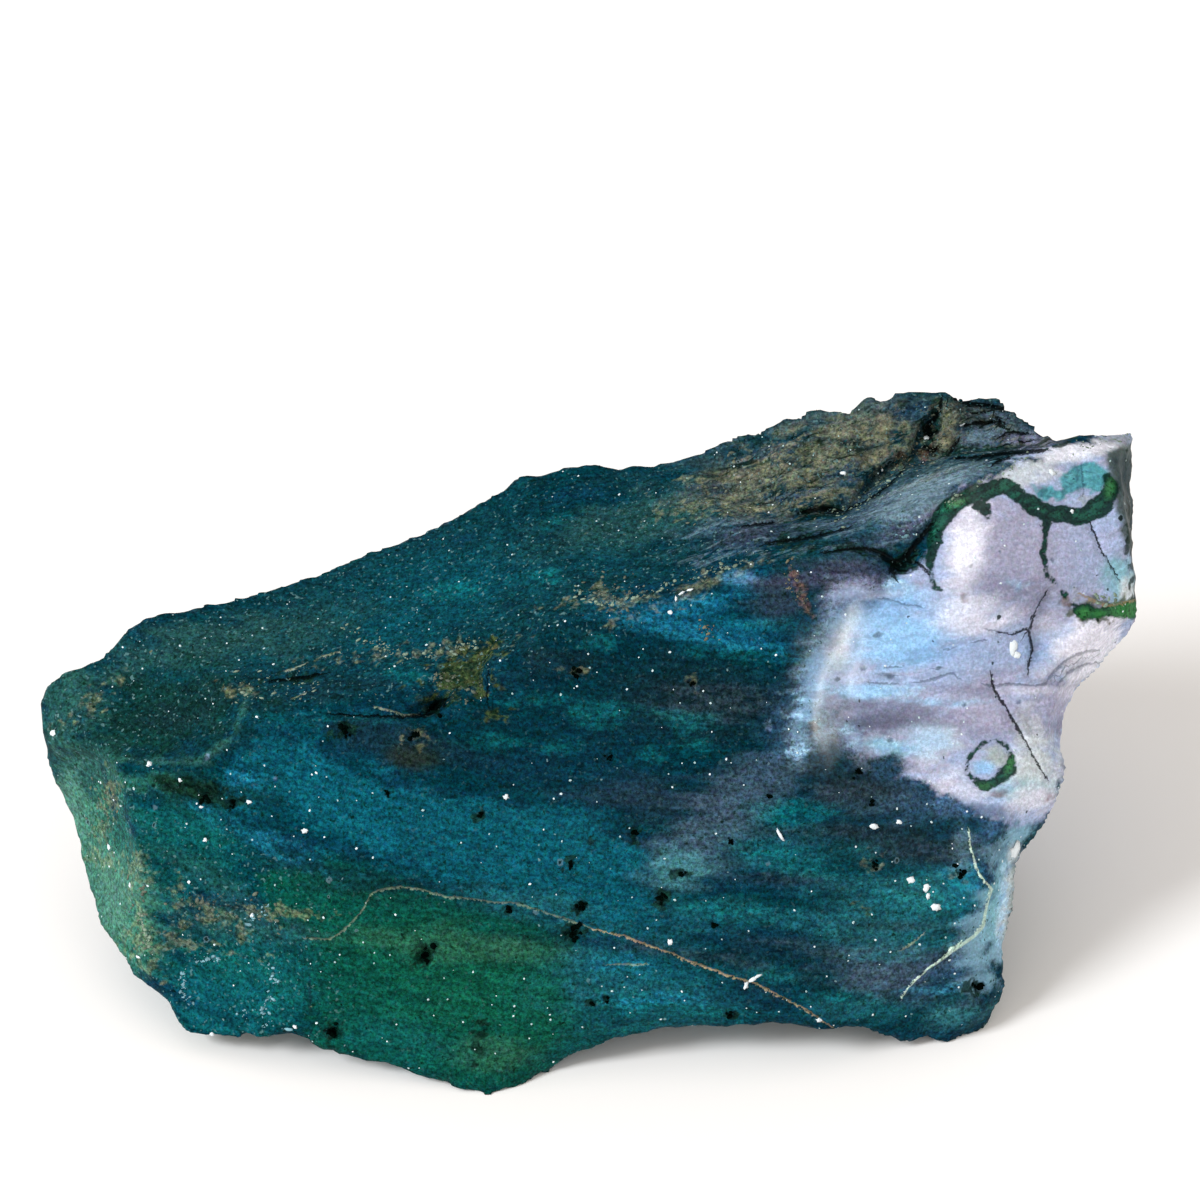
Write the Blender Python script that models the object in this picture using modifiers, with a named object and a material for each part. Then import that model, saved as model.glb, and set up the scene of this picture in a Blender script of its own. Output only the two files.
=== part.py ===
"""Rough jasper: one broken, unpolished stone about 100 mm long, lying on its flattest break.

The stone's edges and creases are drawn on a sheet that leans back square to its broad face. Each point is
(across, up the sheet, height above the table), in millimetres. A front skin and a back skin are stretched
over those lines and meet at the stone's edge. The cage is then filled out to a fine mesh, the scars, ledges,
cracks and pits are worked into it, and it is thinned to the flat facets that its shape needs.
"""

import math

import bmesh
import bpy
import numpy as np
from mathutils import Vector, noise
from mathutils.geometry import delaunay_2d_cdt

MM = 0.001
NAME = "rough_jasper"

# The leaning sheet: its tilt from the table's normal, and where the table's origin falls on it.
LEAN = math.radians(40)
SHEET_ORIGIN = 14.8

FINE_CELL = 0.5  # spacing of the fine mesh
TRIANGLES = 8600  # facets that are kept
LIP_IN, LIP_BACK = 0.9, 1.6
BASE_DEPTH = -0.8  # the base's cage lies this far under the table, and is cut off level with it

# The stone's edge as seen square to the broad face: (across, up, height).
LOWER_EDGE = [
    (-50.0, 32.6, 20.0), (-49.1, 30.0, 17.0), (-47.3, 24.8, 12.0), (-46.2, 18.5, 8.0),
    (-43.6, 13.3, 6.0), (-40.2, 11.1, 5.5), (-38.5, 8.5, 4.0), (-36.2, 6.2, 3.0),
    (-32.1, 5.0, 3.0), (-25.1, 5.5, 4.0), (-24.3, 4.4, 3.0), (-19.8, 3.2, 2.0),
    (-13.4, 1.4, 0.8), (-8.9, 0.0, 0.0), (-5.2, 0.5, 0.3), (-1.1, 2.5, 2.0),
    (3.0, 4.5, 3.5), (8.4, 5.4, 4.5), (13.9, 5.7, 5.0), (19.3, 5.9, 4.5),
    (25.7, 5.6, 3.0), (28.4, 4.4, 1.0), (32.5, 4.0, 0.0), (34.6, 4.6, 0.5),
]
RIGHT_EDGE = [
    (36.6, 6.6, 1.5), (38.1, 8.5, 3.0), (38.5, 13.0, 6.5), (39.3, 17.6, 10.0),
    (40.1, 22.0, 14.0), (42.7, 26.5, 18.0), (44.7, 32.2, 22.0), (46.8, 35.4, 24.0),
    (48.6, 38.6, 25.5), (50.2, 42.8, 27.5), (50.1, 48.5, 30.5), (50.2, 54.0, 34.5),
]
CREST = [
    (50.2, 60.1, 40.5), (46.2, 59.4, 42.0), (42.1, 58.8, 41.5), (40.7, 60.0, 42.5),
    (40.3, 60.8, 43.0), (38.6, 61.4, 43.5), (38.0, 62.8, 44.0), (33.9, 63.7, 45.0),
    (28.4, 63.6, 45.0), (26.9, 62.6, 44.5), (25.6, 63.6, 44.5), (24.2, 61.9, 44.0),
    (22.8, 62.4, 43.8), (19.3, 62.3, 43.5), (15.7, 61.5, 42.5), (12.1, 60.4, 41.0),
    (9.3, 58.4, 39.5), (5.7, 56.8, 38.5), (1.1, 57.8, 38.5), (-2.7, 58.6, 38.5),
    (-8.0, 54.7, 36.5), (-13.4, 52.0, 35.0), (-19.8, 49.8, 33.0), (-25.3, 47.4, 31.5),
    (-31.2, 45.5, 30.0), (-35.7, 44.4, 29.0), (-40.1, 43.2, 28.0), (-42.5, 41.4, 27.0),
    (-44.8, 39.0, 25.5), (-48.0, 38.3, 24.5), (-49.6, 36.7, 23.0),
]

# Creases of the side that faces up and out.
BROW = [
    (-44.5, 30.3, 21.0), (-41.2, 30.0, 22.0), (-36.2, 30.1, 23.5), (-32.4, 32.7, 26.0),
    (-28.0, 35.0, 27.5), (-23.4, 34.7, 28.0), (-15.2, 34.1, 29.0), (-9.1, 35.6, 30.5),
    (-8.9, 38.7, 32.0), (-4.3, 41.2, 34.0), (1.1, 43.8, 36.0), (9.3, 46.2, 38.0),
    (15.7, 47.4, 39.0), (22.1, 49.6, 40.0), (32.1, 53.7, 42.0), (37.5, 56.7, 43.0),
    (43.0, 58.4, 42.6),
]
UPPER_BROW = [
    (-32.4, 32.7, 26.0), (-29.6, 38.4, 28.6), (-22.0, 39.6, 29.9), (-15.0, 39.6, 30.9),
    (-8.9, 38.7, 32.0),
]
CREVICE = [
    (18.4, 51.8, 38.8), (23.8, 53.0, 38.8), (27.7, 56.0, 39.5), (31.6, 57.8, 40.2),
    (38.4, 58.3, 40.8),
]
BELLY = [
    (-41.5, 27.6, 20.0), (-36.0, 22.0, 16.5), (-26.2, 20.3, 16.7), (-17.1, 20.3, 18.0),
    (-8.0, 21.2, 18.5), (1.1, 23.0, 19.8), (10.2, 24.8, 21.4), (19.3, 27.6, 23.8),
    (26.6, 33.9, 27.4), (34.0, 40.0, 31.6),
]
LEFT_CORNER = [(-41.5, 27.6, 20.0), (-40.3, 20.3, 15.2), (-38.9, 13.9, 9.5)]
LOWER_LEFT_BREAK = [(-38.9, 13.9, 9.5), (-28.9, 17.1, 13.8), (-25.3, 12.1, 10.0), (-25.1, 5.5, 4.0)]
RIGHT_CORNER = [
    (46.2, 59.4, 42.0), (47.7, 57.4, 41.4), (48.3, 53.8, 38.8), (48.9, 50.0, 35.8),
    (49.4, 46.5, 32.4), (50.2, 42.8, 27.5),
]
RIGHT_BREAK = [(34.0, 40.0, 31.6), (40.0, 36.0, 27.2), (38.0, 26.0, 19.5), (34.0, 14.0, 10.2)]

# Creases of the side that is turned away: (across, back from the middle, height).
BACK_SHOULDER = [
    (-45.5, 7.5, 17.0), (-38.0, 13.5, 19.0), (-25.0, 18.0, 20.0), (-10.0, 23.0, 21.0),
    (5.0, 25.5, 24.0), (20.0, 27.0, 26.0), (33.0, 27.0, 25.0), (43.0, 24.5, 27.0),
    (46.5, 21.5, 31.0),
]
HEEL = [
    (-39.0, 5.0, 4.5), (-30.0, 13.0, 3.0), (-12.0, 19.0, 4.0), (8.0, 23.0, 5.5),
    (24.0, 22.0, 3.0), (35.0, 15.0, 5.0), (37.5, 6.0, 5.5),
]
# Corners of the flat break that the stone lies on: (across, back).
BASE = [
    (-9.0, -20.5), (-26.0, -10.0), (-33.0, 0.0), (-27.0, 9.0), (-10.0, 14.0),
    (10.0, 17.0), (24.0, 16.0), (33.0, 9.0), (35.0, -6.0), (32.5, -13.6),
    (24.0, -10.5), (10.0, -11.0), (0.0, -13.0),
]

# Flake scars, each a shallow bowl: (a point near its middle, radius across, depth).
SHEET_SCARS = [
    ((-38.4, 35.6, 25.5), 9.0, 1.3),
    ((-17.0, 45.3, 33.0), 14.0, 0.7),
    ((6.5, 50.0, 38.5), 11.0, 0.5),
    ((-43.5, 21.5, 13.0), 6.0, 0.35),
    ((-32.0, 11.0, 8.0), 8.0, 0.7),
    ((10.5, 7.5, 6.5), 11.0, 0.7),
    ((-24.4, 5.0, 3.5), 2.2, 0.4),
    ((35.5, 7.5, 2.5), 4.0, 0.4),
    ((43.5, 38.5, 26.0), 5.0, 0.6),
    ((0.0, 29.5, 25.0), 12.0, 0.25),
]
HIDDEN_SCARS = [
    ((-30.0, 16.0, 22.0), 13.0, 1.8),
    ((-6.0, 23.0, 14.0), 15.0, 2.2),
    ((16.0, 25.0, 15.0), 12.0, 1.6),
    ((30.0, 25.5, 34.0), 10.0, 1.2),
    ((4.0, 22.5, 33.0), 12.0, 1.0),
    ((42.0, 21.0, 17.0), 9.0, 1.4),
    ((38.5, 0.0, 9.0), 8.0, 1.0),
    ((-42.0, 8.0, 10.0), 9.0, 1.0),
]

# Swellings of the broad face: (line on the sheet, half width, height).
SWELLS = [
    ([(36.0, 50.5), (37.5, 48.5)], 7.0, 1.1),
    ([(24.0, 45.0), (20.0, 30.0)], 6.0, 0.7),
    ([(-20.0, 20.0), (-2.0, 22.0)], 9.0, 0.5),
]

# Crevices and open cracks: (line on the sheet, half width, depth).
CREVICES = [
    ([(19.4, 51.8), (20.2, 52.9), (22.3, 52.5), (24.8, 53.2), (25.8, 55.1), (28.9, 57.1), (34.0, 58.2), (42.0, 58.5)],
     0.8, 2.0),
    ([(22.9, 49.3), (24.5, 49.6), (26.0, 48.9), (27.3, 48.8), (28.3, 47.5), (29.6, 49.1), (31.1, 51.8), (32.1, 52.8)],
     0.6, 1.3),
    ([(32.3, 62.5), (31.6, 60.8), (30.6, 59.4), (30.2, 57.9)], 0.8, 1.6),
    ([(-17.0, 33.6), (-14.8, 34.6), (-13.3, 35.8), (-12.0, 36.3)], 0.9, 2.0),
    ([(-28.0, 34.6), (-23.0, 34.2), (-19.0, 34.4), (-15.0, 34.8)], 0.6, 0.7),
    ([(36.5, 39.0), (37.6, 37.0), (39.4, 34.4), (41.0, 31.6), (42.6, 28.4)], 0.45, 1.0),
    ([(42.4, 46.4), (41.0, 44.6), (40.3, 42.8), (40.4, 40.6), (39.9, 37.8)], 0.45, 1.0),
    ([(-17.5, 39.2), (-12.0, 40.2), (-8.0, 41.4), (-4.0, 42.2)], 0.7, 0.5),
    ([(44.6, 40.1), (43.2, 39.0), (42.0, 37.5)], 0.5, 0.5),
]

# Breaks whose lower side is sunk. It lies on the right of the line as it is drawn: (line, drop, reach).
STEPS = [
    ([(39.9, 37.8), (40.4, 40.6), (40.3, 42.8), (41.0, 44.6), (42.4, 46.4)], 0.6, 5.0),
    ([(22.4, 50.6), (25.5, 51.6), (29.5, 52.6), (32.5, 53.7), (34.5, 55.1), (38.2, 56.6), (41.5, 58.2)], 0.6, 5.0),
    ([(33.0, 38.0), (37.0, 38.2), (42.0, 37.6), (46.5, 37.6)], 0.35, 6.0),
]

# The chip under the brow, floored with crust: its corners on the sheet and its depth at the sharp end.
CHIP = [(-15.0, 36.0), (-9.2, 35.6), (-9.0, 38.8), (-7.8, 41.3), (-17.0, 40.0)]
CHIP_DEPTH = 1.4

# Bedding ledges at the end of the back ridge, and the rough crust on the ridge.
LEDGE_ZONE = (32.5, 42.5, 58.6, 63.4)  # across from, to, up from, to
LEDGE_PITCH, LEDGE_DEPTH, LEDGE_SLANT = 1.35, 0.9, 0.04
CRUST_ZONE = [(9.0, 56.0), (15.0, 53.5), (24.0, 54.0), (30.0, 57.5), (42.0, 58.5), (41.0, 65.0), (8.0, 65.0)]
CRUST_ROUGH, CRUST_GRAIN = 0.55, 2.6

# Open pits of the broad face: (across, up, radius, depth).
PITS = [
    (-14.8, 12.5, 0.9, 0.9), (-1.4, 14.2, 1.0, 0.9), (-0.6, 16.8, 0.7, 0.7), (-13.5, 35.2, 0.9, 1.2),
    (-15.7, 32.6, 0.6, 0.5), (4.3, 23.8, 0.6, 0.6), (-22.9, 5.9, 0.9, 0.8), (35.6, 9.6, 0.9, 0.5),
]

# Unevenness of the whole surface: (size of its swells, height).
UNEVEN = [(17.0, 0.50), (6.0, 0.20)]
RAGGED_SIZE, RAGGED = 2.6, 0.35  # small bites along the stone's edge
GRAIN_SIZE, GRAIN = 2.8, 0.07  # what is left on a scar too


def on_sheet(across, up, height):
    """The point of the stone that is drawn there on the leaning sheet and stands at that height."""
    back = (up - SHEET_ORIGIN - height * math.cos(LEAN)) / math.sin(LEAN)
    return Vector((across, back, height))


def sheet_place(point):
    """Where a point of the stone is drawn on the leaning sheet."""
    return Vector((point.x, point.y * math.sin(LEAN) + point.z * math.cos(LEAN) + SHEET_ORIGIN))


def lip(rim):
    """The rim once more, a little inside its outline and behind it, so that the edge has some thickness."""
    drawn = [sheet_place(point) for point in rim]
    away = Vector((0, math.cos(LEAN), -math.sin(LEAN)))
    inner = []
    for i, point in enumerate(rim):
        along = (drawn[(i + 1) % len(rim)] - drawn[i - 1]).normalized()
        inward = Vector((-along.y, along.x * math.sin(LEAN), along.x * math.cos(LEAN)))
        inner.append(point + inward * LIP_IN + away * LIP_BACK)
    return inner


def skin(rim, lines):
    """(points, triangles) of a skin inside the rim that keeps each line as a crease. The rim's points come first."""
    points = list(rim)
    creases = []
    for line in lines:
        placed = []
        for point in line:
            near = [i for i, other in enumerate(points) if (other - point).length < 1e-4]
            if not near:
                points.append(point)
            placed.append(near[0] if near else len(points) - 1)
        creases += zip(placed, placed[1:])
    flat = [sheet_place(point) for point in points]
    found = delaunay_2d_cdt(flat, creases, [list(range(len(rim)))], 1, 1e-5)
    if len(found[0]) != len(points):
        raise ValueError("two creases cross, or a point is drawn twice")
    origin = [ids[0] for ids in found[3]]
    return points, [[origin[i] for i in face] for face in found[2]]


def cage():
    """The stone's plain facets as a closed mesh."""
    rim = [on_sheet(*p) for p in LOWER_EDGE + RIGHT_EDGE + CREST]
    front_lines = [BROW, UPPER_BROW, CREVICE, BELLY, LEFT_CORNER, LOWER_LEFT_BREAK, RIGHT_CORNER, RIGHT_BREAK]
    back_lines = [BACK_SHOULDER, HEEL, [(x, y, BASE_DEPTH) for x, y in BASE + BASE[:1]]]
    front, front_faces = skin(rim, [[on_sheet(*p) for p in line] for line in front_lines])
    back, back_faces = skin(rim, [lip(rim)] + [[Vector(p) for p in line] for line in back_lines])
    mesh = bmesh.new()
    edge = [mesh.verts.new(p) for p in rim]
    for points, faces, turned in ((front, front_faces, False), (back, back_faces, True)):
        corners = edge + [mesh.verts.new(p) for p in points[len(rim):]]
        for face in faces:
            mesh.faces.new([corners[i] for i in (reversed(face) if turned else face)])
    bmesh.ops.scale(mesh, vec=(MM, MM, MM), verts=mesh.verts)
    bmesh.ops.recalc_face_normals(mesh, faces=mesh.faces)
    return mesh


def evaluated_mesh(obj):
    """The object's mesh with its modifiers worked in, as a mesh of its own."""
    graph = bpy.context.evaluated_depsgraph_get()
    return bpy.data.meshes.new_from_object(obj.evaluated_get(graph))


def line_distance(places, line):
    """(distance to the line, 1 where the place is on its right, share of the line run so far) on the sheet."""
    best = np.full(len(places), np.inf)
    right = np.zeros(len(places))
    along = np.zeros(len(places))
    corners = np.array(line)
    runs = np.diff(corners, axis=0)
    lengths = np.linalg.norm(runs, axis=1)
    done = 0.0
    for start, run, length in zip(corners, runs, lengths):
        from_start = places - start
        share = np.clip(from_start @ run / length**2, 0, 1)
        gap = np.linalg.norm(from_start - share[:, None] * run, axis=1)
        nearer = gap < best
        best[nearer] = gap[nearer]
        cross = from_start[:, 0] * run[1] - from_start[:, 1] * run[0]
        right[nearer] = cross[nearer] > 0
        along[nearer] = (done + share[nearer] * length) / lengths.sum()
        done += length
    return best, right, along


def inside(places, corners):
    """Which places lie inside the outline with those corners."""
    held = np.zeros(len(places), bool)
    x, y = places.T
    for (x0, y0), (x1, y1) in zip(corners, corners[1:] + corners[:1]):
        spans = (y0 > y) != (y1 > y)
        if y0 != y1:
            held ^= spans & (x < (x1 - x0) * (y - y0) / (y1 - y0) + x0)
    return held


def eased(share):
    """0 to 1, with no corner at either end."""
    share = np.clip(share, 0, 1)
    return share * share * (3 - 2 * share)


class Clay:
    """The fine mesh while it is worked. Its points are in millimetres."""

    def __init__(self, data):
        self.data = data
        points = np.empty(len(data.vertices) * 3)
        data.vertices.foreach_get("co", points)
        self.points = points.reshape(-1, 3) / MM
        self.settle()

    def settle(self):
        """Writes the moves into the mesh, and reads afresh which way each point faces."""
        self.data.vertices.foreach_set("co", (self.points * MM).ravel())
        self.data.update()
        normals = np.empty(self.points.size)
        self.data.vertex_normals.foreach_get("vector", normals)
        self.normals = normals.reshape(-1, 3)
        lean, rise = math.sin(LEAN), math.cos(LEAN)
        self.outward = np.array([0, -rise, lean])
        up = self.points[:, 1] * lean + self.points[:, 2] * rise + SHEET_ORIGIN
        self.places = np.column_stack([self.points[:, 0], up])
        self.shown = eased(self.normals @ self.outward / 0.3)

    def sink(self, depth):
        """Moves the points of the broad side straight back from the sheet."""
        self.points -= (depth * self.shown)[:, None] * self.outward

    def swell(self, line, half_width, height):
        gap, _, _ = line_distance(self.places, line)
        self.sink(-height * np.exp(-((gap / half_width) ** 2)))

    def cut_crevice(self, line, half_width, depth):
        """A crack that closes towards both its ends."""
        gap, _, along = line_distance(self.places, line)
        open_share = np.sqrt(np.sin(math.pi * along))
        self.sink(depth * open_share * (1 - eased(gap / (half_width * (0.4 + 0.6 * open_share)))))

    def drop_step(self, line, drop, reach):
        gap, right, along = line_distance(self.places, line)
        self.sink(drop * right * np.sin(math.pi * along) * (1 - eased(gap / reach)))

    def knock_out_chip(self, corners, depth):
        blunt = min(x for x, _ in corners)
        sharp = max(x for x, _ in corners)
        ramp = eased((self.places[:, 0] - blunt) / (sharp - blunt))
        self.sink(depth * ramp * inside(self.places, corners))

    def lay_ledges(self, zone, pitch, depth, slant):
        """Bedding that ends in small steps, each set back from the one below."""
        low_x, high_x, low_up, high_up = zone
        x, up = self.places.T
        beds = (up - slant * x) / pitch
        share = eased((x - low_x) / 2) * eased((high_x - x) / 0.6)
        share = share * eased((up - low_up) / 0.5) * eased((high_up - up) / 0.5)
        self.sink(depth * share * (beds % 1.0))

    def dig_pit(self, across, up, radius, depth):
        gap = np.linalg.norm(self.places - (across, up), axis=1)
        self.sink(depth * np.sqrt(np.clip(1 - (gap / radius) ** 2, 0, 1)))

    def strike_scar(self, near, radius, depth):
        """Moves what a large ball covers back to the ball's surface, as a blow leaves it."""
        gaps = np.linalg.norm(self.points - near, axis=1)
        facing = self.normals[gaps < radius / 2 + gaps.min()].mean(axis=0)
        facing /= np.linalg.norm(facing)
        ball = (radius**2 + depth**2) / (2 * depth)
        centre = self.points[gaps.argmin()] + facing * (ball - depth)
        arm = self.points - centre
        reach = np.linalg.norm(arm, axis=1)
        share = (reach < ball) * (1 - eased((gaps - 1.3 * radius) / (0.6 * radius)))
        self.points += (share * (ball / reach - 1))[:, None] * arm

    def roughen(self, size, height, share=1.0, seed=0.0):
        offset = Vector((seed, -seed, 2 * seed))
        waves = np.array([noise.noise(Vector(p) / size + offset) for p in self.points])
        self.points += (height * share * waves)[:, None] * self.normals

    def crust(self, corners, height, grain):
        gap, _, _ = line_distance(self.places, corners + corners[:1])
        covered = inside(self.places, corners) * eased(gap / 1.5) * self.shown
        lumps = np.array([noise.turbulence(Vector(p) / grain, 3, True) for p in self.points])
        self.points += (height * covered * (lumps - 0.5))[:, None] * self.normals


def worked(data):
    """Works the scars, breaks, crust and pits into the fine mesh."""
    clay = Clay(data)
    for number, (size, height) in enumerate(UNEVEN):
        clay.roughen(size, height, seed=3.7 * number)
    clay.roughen(RAGGED_SIZE, RAGGED, 1 - eased(np.abs(clay.normals @ clay.outward) / 0.6))
    clay.settle()
    for place, radius, depth in SHEET_SCARS:
        clay.strike_scar(on_sheet(*place), radius, depth)
    for place, radius, depth in HIDDEN_SCARS:
        clay.strike_scar(place, radius, depth)
    clay.roughen(GRAIN_SIZE, GRAIN)
    clay.settle()
    for line, half_width, height in SWELLS:
        clay.swell(line, half_width, height)
    for line, drop, reach in STEPS:
        clay.drop_step(line, drop, reach)
    clay.knock_out_chip(CHIP, CHIP_DEPTH)
    clay.lay_ledges(LEDGE_ZONE, LEDGE_PITCH, LEDGE_DEPTH, LEDGE_SLANT)
    clay.settle()
    clay.crust(CRUST_ZONE, CRUST_ROUGH, CRUST_GRAIN)
    for line, half_width, depth in CREVICES:
        clay.cut_crevice(line, half_width, depth)
    for pit in PITS:
        clay.dig_pit(*pit)
    clay.settle()


def cut_level(mesh):
    """Cuts off what reaches under the table, and closes the cut with one flat face."""
    everything = mesh.verts[:] + mesh.edges[:] + mesh.faces[:]
    cut = bmesh.ops.bisect_plane(mesh, geom=everything, plane_co=(0, 0, 0), plane_no=(0, 0, 1), clear_inner=True)
    rims = [e for e in cut["geom_cut"] if isinstance(e, bmesh.types.BMEdge)]
    bmesh.ops.triangle_fill(mesh, edges=rims, use_beauty=True)
    bmesh.ops.recalc_face_normals(mesh, faces=mesh.faces)


def centre_footprint(mesh):
    """Moves the stone so that its box stands over the origin."""
    for axis in (0, 1):
        places = [v.co[axis] for v in mesh.verts]
        shift = -(min(places) + max(places)) / 2
        for v in mesh.verts:
            v.co[axis] += shift


def stone_material():
    material = bpy.data.materials.new("jasper")
    material.use_nodes = True
    surface = material.node_tree.nodes["Principled BSDF"]
    surface.inputs["Base Color"].default_value = (0.02, 0.09, 0.11, 1)
    surface.inputs["Roughness"].default_value = 0.45
    surface.inputs["Metallic"].default_value = 0
    return material


def main():
    for obj in list(bpy.data.objects):
        bpy.data.objects.remove(obj)
    data = bpy.data.meshes.new(NAME)
    stone = bpy.data.objects.new(NAME, data)
    bpy.context.scene.collection.objects.link(stone)

    plain = cage()
    plain.to_mesh(data)
    plain.free()
    fill = stone.modifiers.new("fine cells", "REMESH")
    fill.mode = "VOXEL"
    fill.voxel_size = FINE_CELL * MM
    stone.data = evaluated_mesh(stone)
    stone.modifiers.clear()
    worked(stone.data)

    thin = stone.modifiers.new("thin", "DECIMATE")
    thin.ratio = TRIANGLES / (2 * len(stone.data.polygons))
    thin.use_collapse_triangulate = True
    mesh = bmesh.new()
    mesh.from_mesh(evaluated_mesh(stone))
    stone.modifiers.clear()
    cut_level(mesh)
    centre_footprint(mesh)
    mesh.to_mesh(stone.data)
    mesh.free()
    stone.data.name = NAME
    stone.data.materials.append(stone_material())


main()
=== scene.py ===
"""Looks of a rough jasper: one broken, unpolished stone, lying on its flattest break on a pale table.

The stone's fine surface is worked from the frame's solid: chips, cracks, pits and crust are cut into its
mesh. Its markings are drawn on a sheet that leans back square to the broad face, and are laid on the sides
that face the sheet. The sides that face away have bands and patches made from noise. Quartz specks, chips,
crumbs and crust grains lie on the stone as pieces of their own.
"""

import math

import bmesh
import bpy
import numpy as np
from mathutils import Matrix, Vector, noise


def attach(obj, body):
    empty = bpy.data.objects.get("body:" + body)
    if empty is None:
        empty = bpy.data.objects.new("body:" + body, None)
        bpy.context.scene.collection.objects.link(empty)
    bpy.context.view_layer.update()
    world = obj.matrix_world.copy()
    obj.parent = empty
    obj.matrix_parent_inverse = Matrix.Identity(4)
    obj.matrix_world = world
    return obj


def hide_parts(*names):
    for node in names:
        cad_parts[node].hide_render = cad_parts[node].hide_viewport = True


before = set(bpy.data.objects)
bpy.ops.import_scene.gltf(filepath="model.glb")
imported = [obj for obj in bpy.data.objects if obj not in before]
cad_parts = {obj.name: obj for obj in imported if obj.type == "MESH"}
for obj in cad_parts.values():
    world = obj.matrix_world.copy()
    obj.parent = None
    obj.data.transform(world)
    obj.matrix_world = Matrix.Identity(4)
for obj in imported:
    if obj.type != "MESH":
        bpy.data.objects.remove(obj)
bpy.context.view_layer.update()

bl_info = {
    "name": "Rough jasper",
    "version": (1, 0, 0),
    "blender": (4, 5, 0),
    "location": "3D View > Sidebar > Jasper",
    "description": "Builds a rough piece of jasper over its fixed frame",
    "category": "Object",
}

MM = 0.001
NODE = "rough_jasper"

# The leaning sheet: its middle in the stone's frame, its tilt, and the eye that it is seen from, all in
# millimetres.
SHEET_MIDDLE = np.array([1.04, 6.97, 31.3])
LEAN = math.radians(40)
EYE_DISTANCE = 363.6
LENS, SENSOR = 120.0, 36.0
ACROSS = np.array([1.0, 0.0, 0.0])
UP = np.array([0.0, math.sin(LEAN), math.cos(LEAN)])
TO_EYE = np.array([0.0, -math.cos(LEAN), math.sin(LEAN)])
# The markings are drawn in steps, across from the left and down from the top of a sheet that is this
# many steps wide and high. A step is in millimetres.
SHEET_STEPS = 1200
STEP = EYE_DISTANCE * SENSOR / LENS / SHEET_STEPS

FAR = 1e6  # steps: further than anything on the sheet
SAME = 1e-6  # steps: two gaps this near each other count as one
FIELD_LIMIT = 3.0  # millimetres: how far from its edge a drawn field still tells places apart
# How squarely a place faces the sheet: where the sheet's cuts reach their full depth, where its markings
# fade out, and where the stone's edge ends.
CUT_FACING, MARK_FACING, RIM_FACING = 0.35, 0.2, 0.7


def srgb(red, green, blue):
    """The linear colour of a screen colour given in 0 to 255."""
    shares = [c / 255 for c in (red, green, blue)]
    return tuple(s / 12.92 if s <= 0.04045 else ((s + 0.055) / 1.055) ** 2.4 for s in shares)


# -------- what is drawn on the sheet

# Broad zones of one pigment: corners, in steps.
ZONES = {
    "lavender": [
        [(846, 592), (880, 590), (905, 580), (928, 560), (940, 520), (962, 500), (985, 486),
         (998, 474), (1008, 464), (1030, 457), (1052, 449), (1100, 437), (1140, 425), (1150, 600),
         (1110, 690), (1070, 760), (1062, 815), (1010, 826), (976, 812), (944, 795), (922, 780),
         (890, 758), (850, 745), (832, 720), (828, 680), (838, 640), (838, 610)],
    ],
    "blue": [
        [(255, 735), (282, 747), (318, 758), (343, 762), (383, 776), (419, 783), (473, 803),
         (534, 806), (575, 815), (640, 838), (660, 870), (650, 905), (620, 925), (560, 905),
         (491, 896), (419, 880), (356, 846), (300, 826), (232, 800), (236, 770)],
    ],
    "green": [
        [(270, 868), (336, 872), (419, 892), (491, 905), (540, 925), (570, 960), (570, 1010),
         (560, 1075), (490, 1100), (320, 1050), (306, 1000), (300, 930), (262, 890)],
    ],
    "night": [
        [(505, 635), (620, 612), (760, 650), (815, 690), (800, 770), (700, 815), (560, 795),
         (440, 775), (370, 745), (430, 715), (500, 700)],
    ],
    "crust": [
        [(735, 520), (690, 490), (735, 440), (800, 416), (905, 396), (1005, 404), (1030, 430),
         (1040, 447), (960, 452), (905, 466), (868, 490), (830, 512), (790, 525)],
    ],
    "slaty": [
        [(660, 548), (700, 520), (740, 516), (800, 524), (850, 508), (905, 464), (960, 450),
         (1046, 448), (1000, 468), (950, 500), (930, 530), (900, 552), (860, 548), (800, 556),
         (740, 562), (690, 575)],
    ],
    # The facet at the pale end's tip faces away from the light, and the colours laid on it are painted
    # shade.
    "facet": [
        [(1106, 452), (1126, 446), (1137, 440), (1142, 500), (1140, 600), (1135, 578), (1131, 558),
         (1122, 530), (1117, 505), (1109, 480)],
    ],
}

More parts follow.
